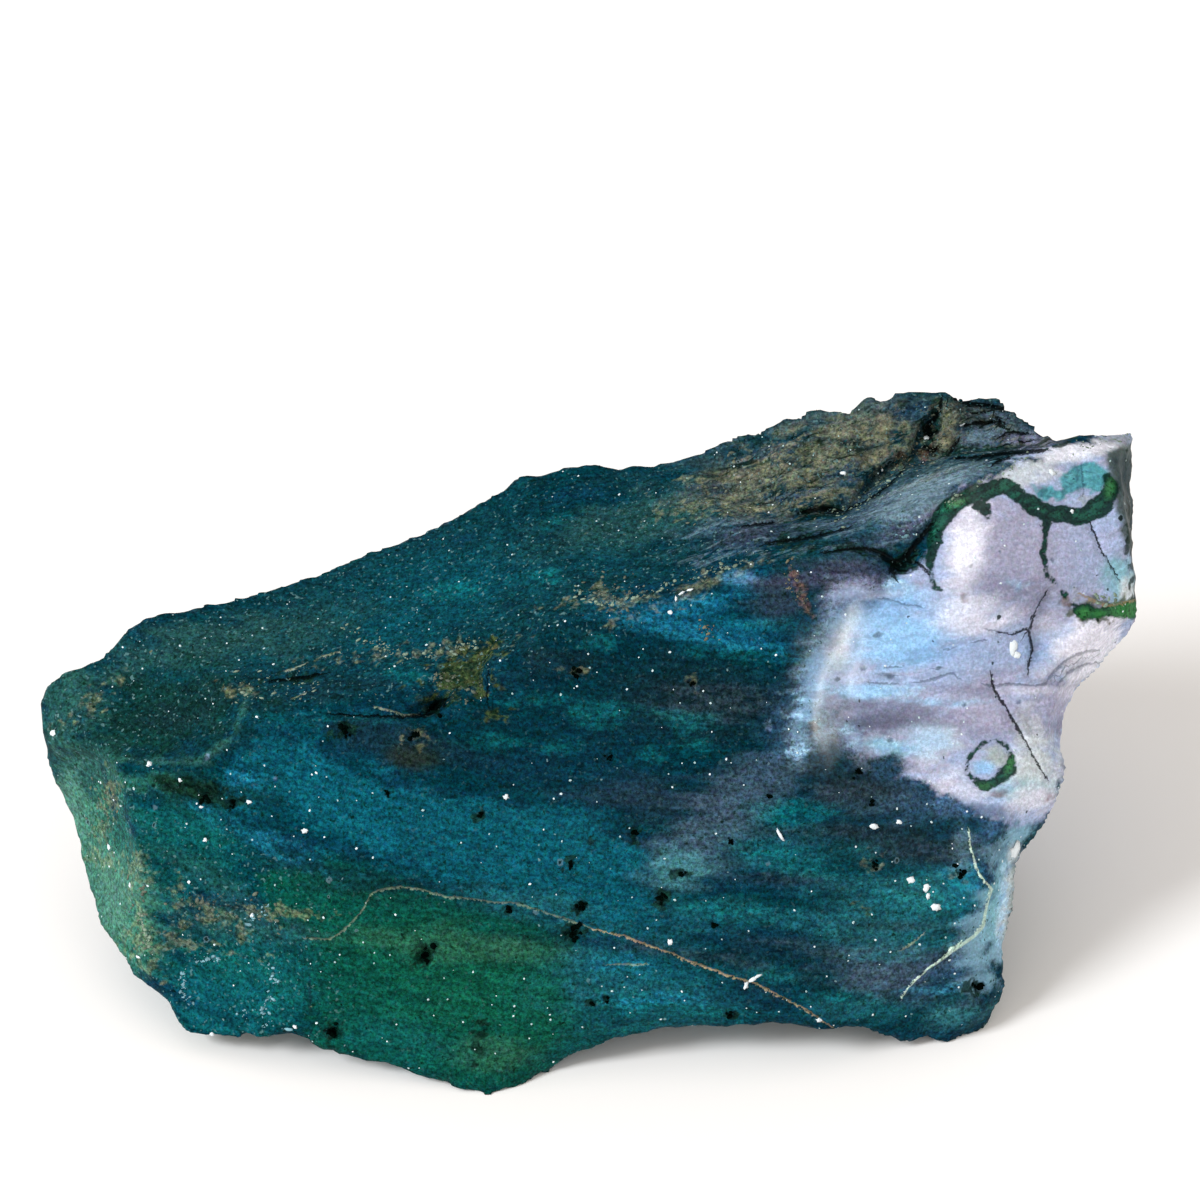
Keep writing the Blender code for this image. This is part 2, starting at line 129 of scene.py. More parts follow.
# Washes, laid one over another: (pigment, across, down, half length, half height, tilt in degrees
# clockwise, strength), in steps. Each fades out towards its edge.
WASHES = [
    # the top slope
    # The slope dust washes are partly dust and partly painted sheen: the upper slope is lighter and
    # greyer.
    ("slope", 420, 600, 420, 95, -15, 1.0), ("slope_dust_and_sheen", 190, 650, 130, 34, -12, 0.9),
    ("slope_dust_and_sheen", 330, 622, 130, 26, -16, 0.6), ("slope_teal", 440, 590, 140, 50, -14, 0.9),
    ("slope_teal", 400, 640, 90, 22, -6, 0.7), ("night", 560, 520, 80, 34, -22, 0.45),
    ("slope_dust_and_sheen", 650, 520, 140, 36, -14, 0.75), ("slate", 735, 525, 70, 16, -10, 0.45),
    ("slope_teal", 590, 560, 60, 18, -8, 0.5), ("umber", 700, 590, 70, 12, -14, 0.25),
    ("slope_teal", 250, 658, 34, 12, 10, 0.5), ("slope_teal", 205, 668, 30, 10, -8, 0.4),
    ("umber", 345, 690, 70, 14, -6, 0.4), ("slope_teal", 410, 673, 34, 10, 10, 0.6),
    ("night", 400, 700, 60, 12, 0, 0.5),
    # the left end
    ("deep_green", 165, 715, 110, 62, -10, 1.0), ("umber", 200, 690, 50, 16, 10, 0.3),
    ("haze_green", 70, 700, 44, 50, 10, 0.75), ("haze_green", 84, 780, 50, 66, -10, 0.9),
    ("haze_leaf", 84, 850, 28, 96, -12, 0.6), ("leaf", 112, 870, 56, 100, -14, 0.75),
    ("leaf", 124, 924, 50, 70, -12, 0.9), ("haze_green", 100, 900, 34, 60, -20, 0.5),
    ("deep_green", 100, 740, 50, 20, 0, 0.5), ("sea_green", 185, 845, 80, 66, 18, 0.95),
    ("deep", 200, 870, 60, 26, 20, 0.35), ("haze_green", 210, 880, 60, 18, 30, 0.35),
    ("deep_green", 190, 790, 70, 22, 8, 0.8), ("haze_green", 168, 762, 50, 5, 0, 0.8),
    ("haze_green", 218, 748, 22, 5, -38, 0.85), ("haze_green", 242, 712, 34, 5, -70, 0.85),
    ("leaf", 150, 782, 40, 12, 6, 0.5), ("moss", 200, 790, 44, 12, 8, 0.85),
    ("umber", 172, 718, 44, 18, 4, 0.5), ("slope_teal", 163, 674, 26, 10, 10, 0.5),
    ("haze_green", 235, 925, 90, 24, 6, 0.55), ("sea_green", 240, 985, 95, 60, 6, 1.0),
    ("blue", 215, 1000, 60, 36, 10, 0.5),
    # the foot
    ("green_bright", 500, 1000, 130, 90, 0, 0.5), ("green_dust", 470, 946, 130, 20, 4, 0.7),
    ("green_dust", 490, 1052, 60, 26, 10, 0.5), ("green_bright", 420, 960, 90, 60, 8, 0.35),
    ("deep_green", 350, 880, 100, 24, 10, 0.55), ("umber", 530, 940, 90, 12, 6, 0.25),
    ("sea", 540, 905, 90, 16, 8, 0.8), ("sea_green", 400, 1040, 90, 24, 8, 0.5),
    ("sea", 650, 985, 130, 62, 4, 0.8), ("blue", 660, 970, 80, 26, 6, 0.6),
    ("navy", 775, 1000, 80, 26, 8, 0.75), ("sea_green", 590, 1050, 90, 20, -20, 0.6),
    ("teal", 640, 1012, 60, 16, 4, 0.4),
    # the broad face
    ("umber", 400, 742, 110, 24, 12, 0.65), ("olive", 414, 760, 38, 16, 6, 0.50),
    ("rust", 412, 760, 34, 14, 6, 0.14), ("umber", 700, 700, 120, 46, 2, 0.55),
    ("umber", 560, 660, 60, 16, 0, 0.4), ("navy", 560, 770, 130, 26, 6, 0.5),
    ("plum", 650, 800, 90, 24, 6, 0.22), ("azure", 700, 622, 110, 20, 9, 0.6),
    ("azure", 700, 600, 60, 12, -10, 0.4), ("navy", 790, 620, 60, 34, 0, 0.4),
    # Painted sheen: these two slate washes draw the faint tail of the swell's highlight down to the left.
    ("slate", 750, 790, 80, 36, -24, 0.6), ("slate", 700, 840, 60, 26, -24, 0.55),
    ("pale_sea", 683, 866, 34, 26, 0, 0.6), ("blue", 640, 900, 60, 40, 0, 0.4),
    ("umber", 850, 782, 80, 26, 2, 0.65), ("umber", 880, 836, 100, 14, 2, 0.5),
    # Painted sheen: the slate_pale wash across 817, the slate_blue across 796 and the sky_deep across 812
    # lie as a pale haze beside the shining swell.
    ("sea", 780, 850, 90, 30, 3, 0.5), ("slate_pale", 817, 684, 28, 82, 17, 0.75),
    ("slate_blue", 796, 716, 36, 60, 24, 0.35), ("plum", 776, 600, 40, 30, 0, 0.4),
    ("sky_deep", 812, 684, 16, 50, 17, 0.4), ("sky_deep", 740, 576, 18, 8, 0, 0.5),
    ("plum", 900, 720, 60, 14, 0, 0.35), ("night", 740, 960, 120, 30, 8, 0.55),
    ("umber", 850, 950, 100, 20, 4, 0.3), ("sea", 900, 915, 110, 56, 4, 0.95),
    ("pale_sea", 930, 892, 46, 20, 4, 0.25), ("sea", 720, 915, 80, 22, 4, 0.6),
    ("umber", 955, 850, 50, 16, 2, 0.45), ("slate_blue", 988, 905, 30, 90, 6, 0.7),
    ("azure_pale", 966, 890, 30, 36, 0, 0.65), ("sky_mist", 984, 932, 26, 50, 8, 0.9),
    ("sky_mist", 972, 940, 24, 26, 0, 0.5), ("pale_teal", 1000, 910, 16, 64, 6, 0.9),
    ("milk", 1006, 905, 9, 60, 6, 1.0), ("sky_mist", 1000, 855, 24, 18, 0, 0.7),
    ("milk", 1014, 852, 8, 20, 0, 0.6), ("slate_blue", 945, 972, 50, 16, -14, 0.8),
    ("sky_mist", 975, 962, 30, 10, -10, 0.6), ("sky_mist", 975, 985, 26, 12, 0, 0.6),
    ("pale_sea", 955, 1012, 44, 20, -14, 0.45), ("plum", 935, 960, 40, 10, -20, 0.5),
    ("plum", 972, 1002, 30, 8, -10, 0.4), ("azure", 930, 990, 34, 6, -6, 0.9),
    ("azure_pale", 930, 989, 24, 4, -6, 0.6), ("slate", 885, 975, 80, 34, 4, 0.75),
    ("sky_mist", 962, 850, 16, 30, 0, 0.3), ("slate", 700, 860, 70, 30, -20, 0.35),
    ("haze_pale", 1010, 905, 6, 50, 8, 0.8), ("sea", 860, 1010, 70, 22, 6, 0.6),
    ("slate_blue", 970, 805, 60, 18, 8, 0.8), ("slate_blue", 1015, 826, 40, 12, -10, 0.6),
    ("sky_mist", 1018, 834, 24, 12, -30, 0.9), ("sky_mist", 998, 952, 14, 18, 0, 0.8),
    ("haze_leaf", 120, 896, 34, 60, -14, 0.35), ("slate_blue", 900, 775, 60, 14, 4, 0.4),
    ("slate", 870, 800, 80, 20, 4, 0.3), ("sky_deep", 925, 804, 48, 22, 6, 0.07),
    ("pale_sea", 680, 868, 30, 20, 0, 0.4),
    # the slope over the pale end
    ("slate", 900, 510, 120, 36, -26, 0.95), ("slate_pale", 925, 492, 95, 20, -28, 0.6),
    ("navy", 860, 535, 60, 14, -12, 0.6), ("deep", 800, 545, 60, 18, -6, 0.8),
    ("plum", 850, 580, 80, 22, 4, 0.8), ("mauve_dark", 880, 588, 50, 12, 8, 0.5),
    ("slate_blue", 905, 580, 26, 12, 10, 0.5), ("mauve_dark", 922, 519, 26, 5, -32, 0.7),
    ("tan_pale", 962, 496, 18, 5, -28, 0.8), ("slope_teal", 868, 528, 24, 8, -20, 0.6),
    ("plum", 900, 532, 40, 9, -28, 0.5), ("haze_pale", 930, 478, 60, 4, -22, 0.35),
    ("umber", 960, 470, 50, 4, -16, 0.5),
    # the crust
    ("crust_dark", 850, 440, 190, 70, -14, 1.0), ("tan", 780, 470, 90, 24, -14, 0.5),
    ("tan", 820, 450, 60, 16, -18, 0.5), ("slate", 780, 500, 60, 8, -12, 0.4),
    ("tan", 720, 495, 60, 14, -10, 0.45), ("deep", 897, 425, 34, 30, 0, 0.6),
    ("slate_blue", 895, 412, 30, 14, 0, 0.5), ("tan", 870, 425, 22, 26, 10, 0.5),
    ("slate", 985, 435, 50, 16, 8, 0.95), ("slate_pale", 1000, 428, 30, 5, 4, 0.4),
    ("mauve_dark", 1022, 441, 26, 7, 8, 0.75), ("night", 975, 404, 46, 7, 6, 0.6),
    ("slate", 960, 412, 40, 8, 6, 0.5), ("tan", 945, 430, 12, 34, 14, 0.6),
    ("tan", 750, 474, 44, 12, -6, 0.7), ("tan", 840, 428, 30, 10, -16, 0.6),
    ("tan", 862, 452, 30, 12, -24, 0.6), ("night", 772, 452, 30, 8, -20, 0.6),
    ("night", 820, 478, 44, 8, -22, 0.6), ("umber", 760, 508, 50, 6, -10, 0.6),
    ("night", 880, 470, 30, 7, -34, 0.6), ("plum", 752, 536, 50, 16, -12, 0.6),
    ("slate", 800, 530, 40, 10, -10, 0.4),
]

# Washes that lie over the crust's mottling, in the same terms.
CRUST_WASHES = [
    ("crust_blue", 914, 412, 28, 20, 0, 0.9), ("tan_pale", 883, 428, 12, 24, 6, 0.75),
    ("slope_teal", 898, 445, 9, 9, 0, 0.6), ("tan_pale", 947, 436, 8, 24, 10, 0.85),
    ("crust_blue", 978, 408, 30, 10, 6, 0.65), ("tan", 966, 414, 36, 14, 8, 0.35),
    ("slate", 998, 417, 20, 6, 6, 0.9), ("slate", 985, 438, 30, 15, -6, 1.0),
    ("slate_pale", 985, 436, 24, 10, -6, 0.35), ("mauve_dark", 1028, 443, 28, 10, 8, 0.8),
    ("slate", 1022, 428, 14, 6, 8, 0.9), ("tan", 1044, 441, 6, 9, 10, 0.5),
    ("tan_pale", 870, 459, 34, 8, -20, 0.65), ("tan_pale", 850, 430, 20, 10, -14, 0.5),
    ("crust_blue", 772, 452, 36, 9, -18, 0.7), ("tan_pale", 745, 478, 44, 8, -12, 0.3),
    ("crust_blue", 716, 488, 40, 9, -12, 0.5), ("crust_blue", 836, 470, 34, 11, -14, 0.85),
    ("crust_blue", 740, 500, 50, 6, -8, 0.4), ("slate", 800, 494, 60, 7, -14, 0.5),
]

# Washes on the pale end, in the same terms.
PALE_WASHES = [
    # The lilac wash across 966, down 545, is a painted highlight where the polished swell also shines in
    # the window light.
    ("mauve", 1030, 560, 90, 70, 0, 0.8), ("lilac", 966, 545, 22, 66, 10, 0.75),
    ("mauve_dark", 1010, 590, 60, 24, 0, 0.6), ("lavender", 1095, 560, 50, 60, 0, 0.6),
    ("lilac", 1088, 645, 60, 34, -34, 1.0), ("lilac", 1050, 628, 24, 16, 0, 0.5),
    # The milk wash at the right rim, across 1129, is partly its pale colour and partly a painted
    # highlight.
    ("pale_teal", 1120, 582, 24, 30, -10, 0.8), ("milk", 1129, 590, 8, 20, 0, 0.8),
    ("milk", 1020, 475, 60, 18, -16, 0.85), ("haze_pale", 1090, 446, 60, 12, -8, 0.7),
    ("sky", 905, 635, 80, 46, 2, 0.95), ("sky_deep", 950, 650, 50, 18, -6, 0.5),
    ("sky_deep", 880, 610, 50, 12, 6, 0.45), ("sky_deep", 1060, 645, 60, 26, -14, 0.5),
    ("lavender", 985, 655, 50, 24, 0, 0.6), ("milk", 1092, 662, 44, 16, -38, 0.8),
    ("mauve_dark", 890, 714, 80, 18, 2, 0.85), ("plum", 862, 724, 40, 12, 4, 0.3),
    ("mauve", 985, 720, 80, 34, 4, 0.9), ("mauve_dark", 900, 728, 60, 10, 2, 0.6),
    ("mauve_dark", 985, 735, 50, 14, 4, 0.4), ("mauve", 1045, 705, 50, 20, 10, 0.4),
    ("lilac", 1080, 684, 34, 20, -50, 0.8), ("milk", 930, 738, 36, 20, 0, 0.95),
    ("pale_teal", 888, 746, 34, 10, 0, 0.9), ("sky", 868, 691, 44, 8, 2, 1.0),
    ("milk", 1032, 770, 34, 52, 10, 1.0), ("pale_teal", 1018, 790, 40, 16, 0, 0.5),
    ("lilac", 955, 785, 50, 20, 10, 0.5), ("slate_blue", 975, 812, 60, 12, 6, 0.7),
    ("lavender", 1030, 812, 30, 18, -20, 0.7), ("mauve", 1045, 797, 14, 8, 0, 0.7),
    ("milk", 1030, 738, 20, 40, -8, 0.75), ("lilac", 1035, 690, 40, 8, 0, 0.5),
    ("slate_blue", 850, 650, 24, 50, 16, 0.2), ("haze_pale", 998, 755, 16, 14, 0, 0.9),
    ("sky", 984, 770, 12, 10, 0, 0.9), ("haze_pale", 1122, 450, 20, 8, -10, 0.6),
    ("slate", 1090, 444, 50, 6, -10, 0.5), ("slate_blue", 850, 606, 30, 16, 0, 0.6),
    # The milk wash across 842, down 640, is a painted highlight along the shining swell.
    ("milk", 842, 640, 14, 40, 20, 0.7), ("sky", 862, 640, 24, 30, 10, 0.4),
    ("slate_blue", 860, 722, 26, 8, 0, 0.3), ("sky_deep", 930, 607, 60, 6, 4, 0.4),
    ("mauve_dark", 1060, 684, 50, 6, 0, 0.5), ("lilac", 970, 618, 50, 26, 0, 0.7),
    ("lilac", 1092, 638, 44, 30, -30, 1.0), ("lilac", 1080, 662, 30, 16, -40, 0.6),
    ("mauve", 1058, 712, 30, 26, 0, 0.7), ("mauve_dark", 1060, 726, 20, 12, 0, 0.5),
    ("sky", 925, 738, 34, 18, 0, 0.6), ("lilac", 1032, 802, 30, 16, 0, 0.7),
    # Painted light: the milk and lilac washes along the top rim, across 1072 and 1074, lift it out of its
    # shade. The pale teal wash at the right rim, across 1126, is a painted highlight over its pale colour.
    ("milk", 1072, 451, 44, 13, -8, 0.9), ("pale_teal", 1126, 588, 14, 18, 0, 0.9),
    ("mauve_dark", 1018, 722, 18, 22, 0, 0.35), ("lilac", 1074, 450, 46, 12, -8, 0.8),
    # The milk wash across 1127 is a painted highlight on the right rim, over its pale colour.
    ("milk", 1127, 590, 12, 16, 0, 1.0), ("lilac", 1082, 662, 26, 14, -38, 0.5),
    ("sky", 820, 622, 30, 14, -10, 0.5), ("slate_blue", 1075, 668, 20, 6, -30, 0.4),
    ("lilac", 1075, 640, 30, 14, -20, 0.5), ("mauve_dark", 962, 690, 60, 6, 4, 0.4),
    ("mauve_dark", 900, 716, 80, 14, 2, 0.7), ("plum", 880, 722, 60, 8, 2, 0.25),
]

# Patches of pigment: (across, down, half length, half height, tilt in degrees clockwise), in steps.
PATCHES = {
    "teal": [
        (596, 712, 30, 14, 6), (686, 719, 28, 7, 9), (693, 745, 17, 6, 3), (561, 748, 15, 6, 0),
        (653, 756, 10, 6, 0), (496, 741, 20, 4, 0), (790, 813, 44, 13, 4), (760, 854, 34, 9, 4),
        (806, 868, 44, 9, 6), (930, 895, 46, 20, 4), (727, 910, 40, 11, 0), (640, 1003, 30, 8, 5),
        (284, 720, 34, 5, 4), (362, 717, 22, 3, 0), (399, 673, 26, 5, 10), (752, 624, 36, 5, 5),
        (734, 654, 28, 4, 6), (600, 642, 14, 6, -10), (540, 700, 26, 6, 0), (850, 1000, 40, 8, 4),
        (820, 725, 16, 5, 0), (455, 590, 30, 8, -8), (545, 578, 18, 6, 0), (370, 715, 10, 3, 0),
        (775, 975, 20, 8, 0), (560, 520, 14, 5, -25), (700, 1010, 50, 6, 4), (880, 955, 30, 6, 0),
    ],
    "azure": [
        (700, 635, 80, 8, 11), (705, 603, 30, 8, -8), (737, 578, 15, 8, 0), (761, 572, 9, 6, 0),
        (255, 830, 36, 3, 22), (262, 845, 28, 3, 26), (945, 987, 24, 4, -8), (620, 962, 24, 4, 2),
        (242, 779, 14, 7, 0), (660, 1000, 30, 5, 0),
    ],
    "umber": [
        (716, 700, 60, 20, 2), (820, 832, 66, 7, 2), (784, 878, 46, 6, 5), (930, 850, 56, 10, 2),
        (720, 960, 60, 5, 10), (905, 990, 40, 6, -12), (850, 790, 40, 10, 0), (900, 925, 40, 5, 0),
        (790, 945, 40, 5, 4),
    ],
    "sky": [
        (897, 585, 14, 7, 5), (1015, 584, 7, 4, 0), (850, 730, 10, 3, 0), (818, 692, 12, 2, 0),
        (1003, 905, 5, 30, 6), (888, 747, 20, 5, 8), (884, 691, 34, 5, 2), (925, 700, 26, 2, 4),
        (819, 688, 13, 4, -8), (803, 717, 9, 5, 0), (797, 752, 9, 6, 0), (806, 700, 6, 4, 0),
    ],
    "turquoise": [
        (1086, 477, 21, 15, -4), (1050, 493, 18, 7, 8), (1070, 484, 12, 10, 0),
    ],
    "olive": [
        (458, 676, 26, 18, -20), (482, 652, 20, 10, -20), (455, 690, 24, 7, 0), (494, 712, 6, 4, 0),
        (859, 906, 5, 4, 0), (1090, 612, 18, 8, 6), (1125, 607, 12, 7, 0),
    ],
    "ochre": [
        (109, 800, 6, 16, 10), (103, 828, 6, 12, 10), (101, 858, 13, 6, 20), (144, 930, 7, 22, -20),
        (136, 940, 10, 9, 0), (182, 915, 5, 18, -8), (199, 906, 10, 5, 10), (218, 918, 16, 7, 6),
        (240, 928, 5, 9, 0), (140, 868, 9, 14, -10), (602, 592, 5, 7, 0), (239, 690, 9, 4, 10),
        (575, 672, 5, 4, 0), (693, 683, 3, 3, 0), (720, 478, 20, 5, -10), (800, 452, 34, 5, -20),
        (842, 462, 40, 5, -18), (690, 508, 22, 4, -4), (735, 508, 24, 4, -8), (1071, 597, 8, 5, 0),
        (1092, 497, 4, 3, 0), (92, 700, 16, 3, -36), (188, 943, 20, 3, 10), (944, 432, 5, 20, 12),
        (961, 874, 4, 3, 0), (875, 864, 4, 3, 0), (414, 735, 4, 3, 0), (268, 911, 18, 3, 6),
        (870, 440, 16, 5, -30), (420, 652, 30, 3, -6), (620, 602, 24, 3, -4),
        (700, 586, 30, 3, -22), (140, 960, 14, 4, 30), (785, 487, 40, 3, -14), (905, 440, 5, 14, 0),
        (820, 500, 20, 3, -14),
    ],
    "rust": [
        (923, 455, 6, 6, -20), (965, 597, 2, 6, 0), (998, 793, 7, 3, 0), (1065, 602, 7, 4, 0),
        (811, 729, 4, 7, 10), (1050, 798, 3, 3, 0), (795, 583, 1.5, 8, -20),
        (806, 603, 1.3, 9, -18), (896, 454, 6, 3, -20), (932, 451, 7, 4, 0),
    ],
    "spot": [
        (880, 635, 4, 2.6, 0), (864, 667, 4, 3, 20), (878, 675, 4, 1.8, 0), (890, 677, 4, 2.2, 0),
        (838, 680, 3.4, 2.6, 0), (836, 713, 3, 2.4, 0), (889, 741, 3, 2.4, 0),
        (877, 580, 4, 2.4, 20), (829, 578, 4, 2.4, 20), (853, 600, 3, 2.4, 0), (208, 757, 3, 3, 0),
        (274, 778, 2.6, 2.6, 0), (767, 725, 4, 6, 0), (788, 742, 3, 3, 0), (938, 668, 3, 2, 0),
        (971, 566, 3, 2, 0), (1000, 552, 2.4, 2, 0), (1052, 560, 2.4, 2.4, 0), (962, 705, 3, 2, 0),
        (1018, 700, 2.4, 2.4, 0),
    ],
    # Near black spots, partly the stone's own. Those along the crevices and ledges of the crust, across
    # 790 to 990, and the strip at the facet's edge, across 1132, are painted shade. Those over the pits
    # darken the pits.
    "moss": [
        (188, 788, 34, 8, 8), (215, 796, 20, 8, 10), (232, 802, 12, 7, 0), (345, 731, 10, 6, 0),
        (426, 955, 9, 9, 0), (334, 1032, 8, 10, 20), (582, 907, 6, 9, 0), (574, 930, 13, 6, 0),
        (662, 898, 8, 10, 0), (682, 874, 6, 5, 0), (976, 987, 12, 6, -10), (635, 833, 5, 8, 10),
        (592, 1003, 5, 4, 0), (607, 999, 4, 3, 0), (730, 1014, 6, 6, 0), (480, 814, 5, 5, 0),
        (509, 909, 6, 5, 0), (388, 793, 6, 3, 0), (434, 707, 11, 6, -25), (591, 841, 4, 3, 0),
        (571, 864, 5, 6, 0), (820, 512, 24, 7, -6), (293, 678, 18, 3, 0), (932, 422, 5, 22, 14),
        (990, 449, 46, 3, -6), (480, 1040, 6, 20, 10), (845, 548, 34, 4, 4), (905, 562, 14, 9, -40),
        (790, 535, 20, 4, -10), (1132, 540, 3, 40, -2),
    ],
}

# Veins, as strokes of (across, down, half width), in steps.
VEINS = [
    [(950, 593, 0.8), (940, 590, 1.4), (934, 586, 2.4), (931, 572, 4), (931, 556, 5), (934, 540, 6),
     (937, 526, 8), (944, 513, 10), (955, 504, 9), (968, 499, 6), (984, 494, 7), (1003, 486, 9)],
    [(950, 506, 4), (962, 494, 3), (978, 487, 3.5), (996, 484, 5)],
    [(975, 506, 4), (984, 508, 7), (988, 518, 0.8)],
    [(1003, 486, 8), (1015, 492, 7), (1028, 502, 8), (1040, 509, 9), (1054, 514, 8), (1070, 516, 9),
     (1086, 515, 8), (1098, 509, 10), (1108, 498, 9), (1111, 486, 9), (1108, 477, 5)],
    [(1048, 514, 4), (1045, 536, 2.6), (1043, 556, 2.2), (1048, 574, 2.6), (1058, 586, 2.4),
     (1065, 595, 2)],
    [(1072, 604, 2), (1080, 611, 8), (1084, 620, 3)],
    [(1080, 609, 7), (1096, 614, 6), (1112, 609, 7), (1124, 610, 9), (1138, 606, 10)],
    [(974, 752, 1), (967, 762, 2), (967, 773, 3), (976, 782, 5), (988, 786, 5), (1000, 780, 6),
     (1009, 769, 6.5), (1012, 757, 5), (1007, 746, 3), (995, 740, 1.5), (984, 742, 1),
     (974, 752, 1)],
]
# Open cracks, crevices and the dark bands under the crust's ledges, in the same terms. They are drawn
# near black: painted shade in the cracks, in the crevices and under the ledges.
CRACKS = [
    [(1047, 591, 0.5), (1039, 604, 0.8), (1032, 620, 1), (1029, 633, 1.4), (1032, 649, 1.3),
     (1029, 663, 1.2), (1028, 675, 0.5)],
    [(1029, 629, 1), (1020, 631, 1.2), (1015, 635, 0.8), (999, 632, 0.5)],
    [(991, 673, 0.8), (993, 687, 1.4), (1001, 700, 1.5), (1009, 713, 1.5), (1017, 727, 1.3),
     (1025, 740, 1.0), (1033, 756, 0.8), (1041, 769, 0.7), (1048, 781, 0.5)],
    [(1091, 524, 0.9), (1095, 535, 1.2), (1100, 548, 1.1), (1108, 561, 0.8), (1116, 575, 0.6),
     (1120, 581, 0.4)],
    [(800, 513, 1), (810, 511, 3), (822, 509, 4.5), (836, 511, 3.5), (846, 511, 1.5),
     (860, 504, 1.2), (876, 495, 1.6), (890, 484, 1.4), (905, 468, 1)],
    [(820, 553, 0.8), (839, 550, 1.2), (857, 548, 1.6), (873, 550, 2.6), (885, 556, 4),
     (895, 564, 7), (903, 562, 6), (912, 549, 4), (922, 536, 3.5), (932, 524, 2)],
    [(893, 562, 4), (892, 572, 3), (896, 580, 1.2)],
    [(905, 560, 2.5), (918, 563, 1.8), (928, 572, 1)],
    [(942, 399, 1.2), (940, 408, 2.6), (937, 416, 3.6), (930, 423, 2.4), (925, 429, 3.4),
     (929, 435, 4), (938, 431, 2.4)],
    [(927, 447, 2.4), (932, 452, 4.4), (938, 447, 2.6)],
    [(958, 440, 1.6), (953, 448, 2.6), (948, 455, 1.6)],
    [(952, 399, 1), (964, 403, 2.8), (980, 405, 3.2), (1000, 408, 2.4), (1009, 411, 1)],
    [(962, 426, 1), (975, 423, 2.2), (990, 422, 2.4), (1004, 423, 1.4)],
    [(998, 439, 0.8), (1004, 435, 1.8), (1013, 432, 2), (1022, 433, 1.4), (1031, 434, 1)],
    [(956, 458, 1.6), (972, 458, 2.4), (990, 456, 3), (1008, 453, 3.2), (1028, 452, 2.6),
     (1048, 450, 1.4)],
    [(990, 466, 1), (1000, 461, 2), (1010, 457, 1)],
    [(425, 716, 2), (431, 711, 5), (440, 704, 6), (447, 699, 2)],
    [(330, 714, 0.6), (350, 715, 1.5), (372, 716, 1.2), (400, 717, 2), (425, 716, 2)],
    [(488, 668, 0.5), (488, 686, 1), (487, 703, 0.6)],
    [(268, 682, 0.6), (290, 679, 2), (312, 676, 1.5), (330, 672, 0.5)],
    [(760, 545, 0.6), (778, 541, 2), (800, 540, 2.5), (822, 535, 1.5), (850, 527, 1)],
    [(740, 527, 0.6), (757, 524, 2), (775, 523, 1)],
]
# Folds and closed cracks, much fainter. Their dark lines are partly the stone's own and partly painted
# shade along folds and small edges.
FOLDS = [
    [(868, 683, 0.8), (900, 684, 1.4), (927, 681, 1.4), (951, 673, 0.8)],
    [(951, 673, 0.8), (962, 680, 0.8), (975, 681, 1.4), (990, 686, 1.5), (1015, 684, 1.6),
     (1034, 686, 1.3), (1047, 683, 1)],
    [(1049, 679, 1.2), (1057, 668, 1.8), (1071, 657, 1.8), (1084, 652, 1.4), (1098, 650, 0.8)],
    [(1060, 682, 1), (1070, 671, 1.6), (1083, 665, 1.2), (1098, 662, 0.6)],
    [(841, 601, 1), (864, 598, 1.4), (887, 599, 1.4), (908, 605, 1.2), (924, 607, 0.8)],
    [(999, 632, 0.8), (983, 628, 1.2), (967, 623, 0.6)],
    [(1081, 463, 0.6), (1083, 478, 1), (1083, 495, 0.6)],
    [(309, 965, 0.6), (310, 990, 1.2), (311, 1015, 1.2), (310, 1038, 0.8)],
    [(203, 904, 0.6), (218, 905, 1.2), (232, 907, 1.4), (250, 910, 0.8)],
    [(945, 650, 0.8), (965, 644, 1.4), (985, 640, 1)],
    [(880, 668, 0.6), (905, 666, 1.2), (935, 660, 0.8)],
]
RUST_LINES = [
    [(592, 928, 0.5), (624, 936, 0.8), (650, 946, 1.0), (672, 954, 0.9), (694, 963, 1.1),
     (717, 971, 0.9), (736, 978, 1.2), (752, 982, 1.3), (768, 990, 0.8), (787, 1000, 0.8),
     (803, 1008, 0.8), (832, 1027, 0.6)],
    [(1081, 594, 1.2), (1095, 601, 1.6), (1108, 606, 1.6), (1122, 603, 1.2), (1134, 600, 0.8)],
]
# The pale seam at the right, which is brightest at its bend.
SEAMS = [
    [(969, 830, 0.5), (970, 846, 0.8), (974, 860, 1.0), (978, 872, 0.9), (985, 882, 0.9),
     (992, 889, 1.1), (988, 900, 1.2), (985, 914, 1.6), (983, 926, 2.0), (974, 936, 2.0),
     (962, 944, 2.1), (950, 952, 2.2), (942, 959, 1.4), (932, 966, 0.8), (921, 975, 0.7),
     (908, 988, 0.6), (901, 999, 0.4)],
]
FAINT_LINES = [
    [(304, 938, 0.5), (329, 940, 0.9), (343, 931, 0.7), (361, 913, 0.7), (372, 893, 0.8),
     (384, 889, 0.9), (402, 887, 1.0), (419, 889, 0.8), (448, 897, 0.7), (470, 899, 0.9),
     (491, 902, 0.8), (512, 903, 0.9), (527, 906, 1.0), (545, 913, 0.7), (560, 917, 0.9),
     (592, 928, 0.7)],
    [(606, 965, 0.4), (630, 964, 0.8), (648, 964, 0.6)],
]
CREAM_LINES = [
    [(925, 933, 0.5), (912, 944, 0.8), (893, 954, 0.8), (883, 962, 0.5)],
    [(268, 675, 0.5), (296, 668, 0.9), (318, 657, 0.9), (340, 652, 0.6)],
    [(293, 699, 0.5), (305, 693, 0.8), (318, 686, 0.5)],
    [(372, 706, 0.6), (390, 711, 1), (404, 715, 1), (419, 715, 0.6)],
]

# What the crumbs' colours are multiplied by, red to blue, against the warm light.
COOL = np.array([0.78, 0.95, 1.08])
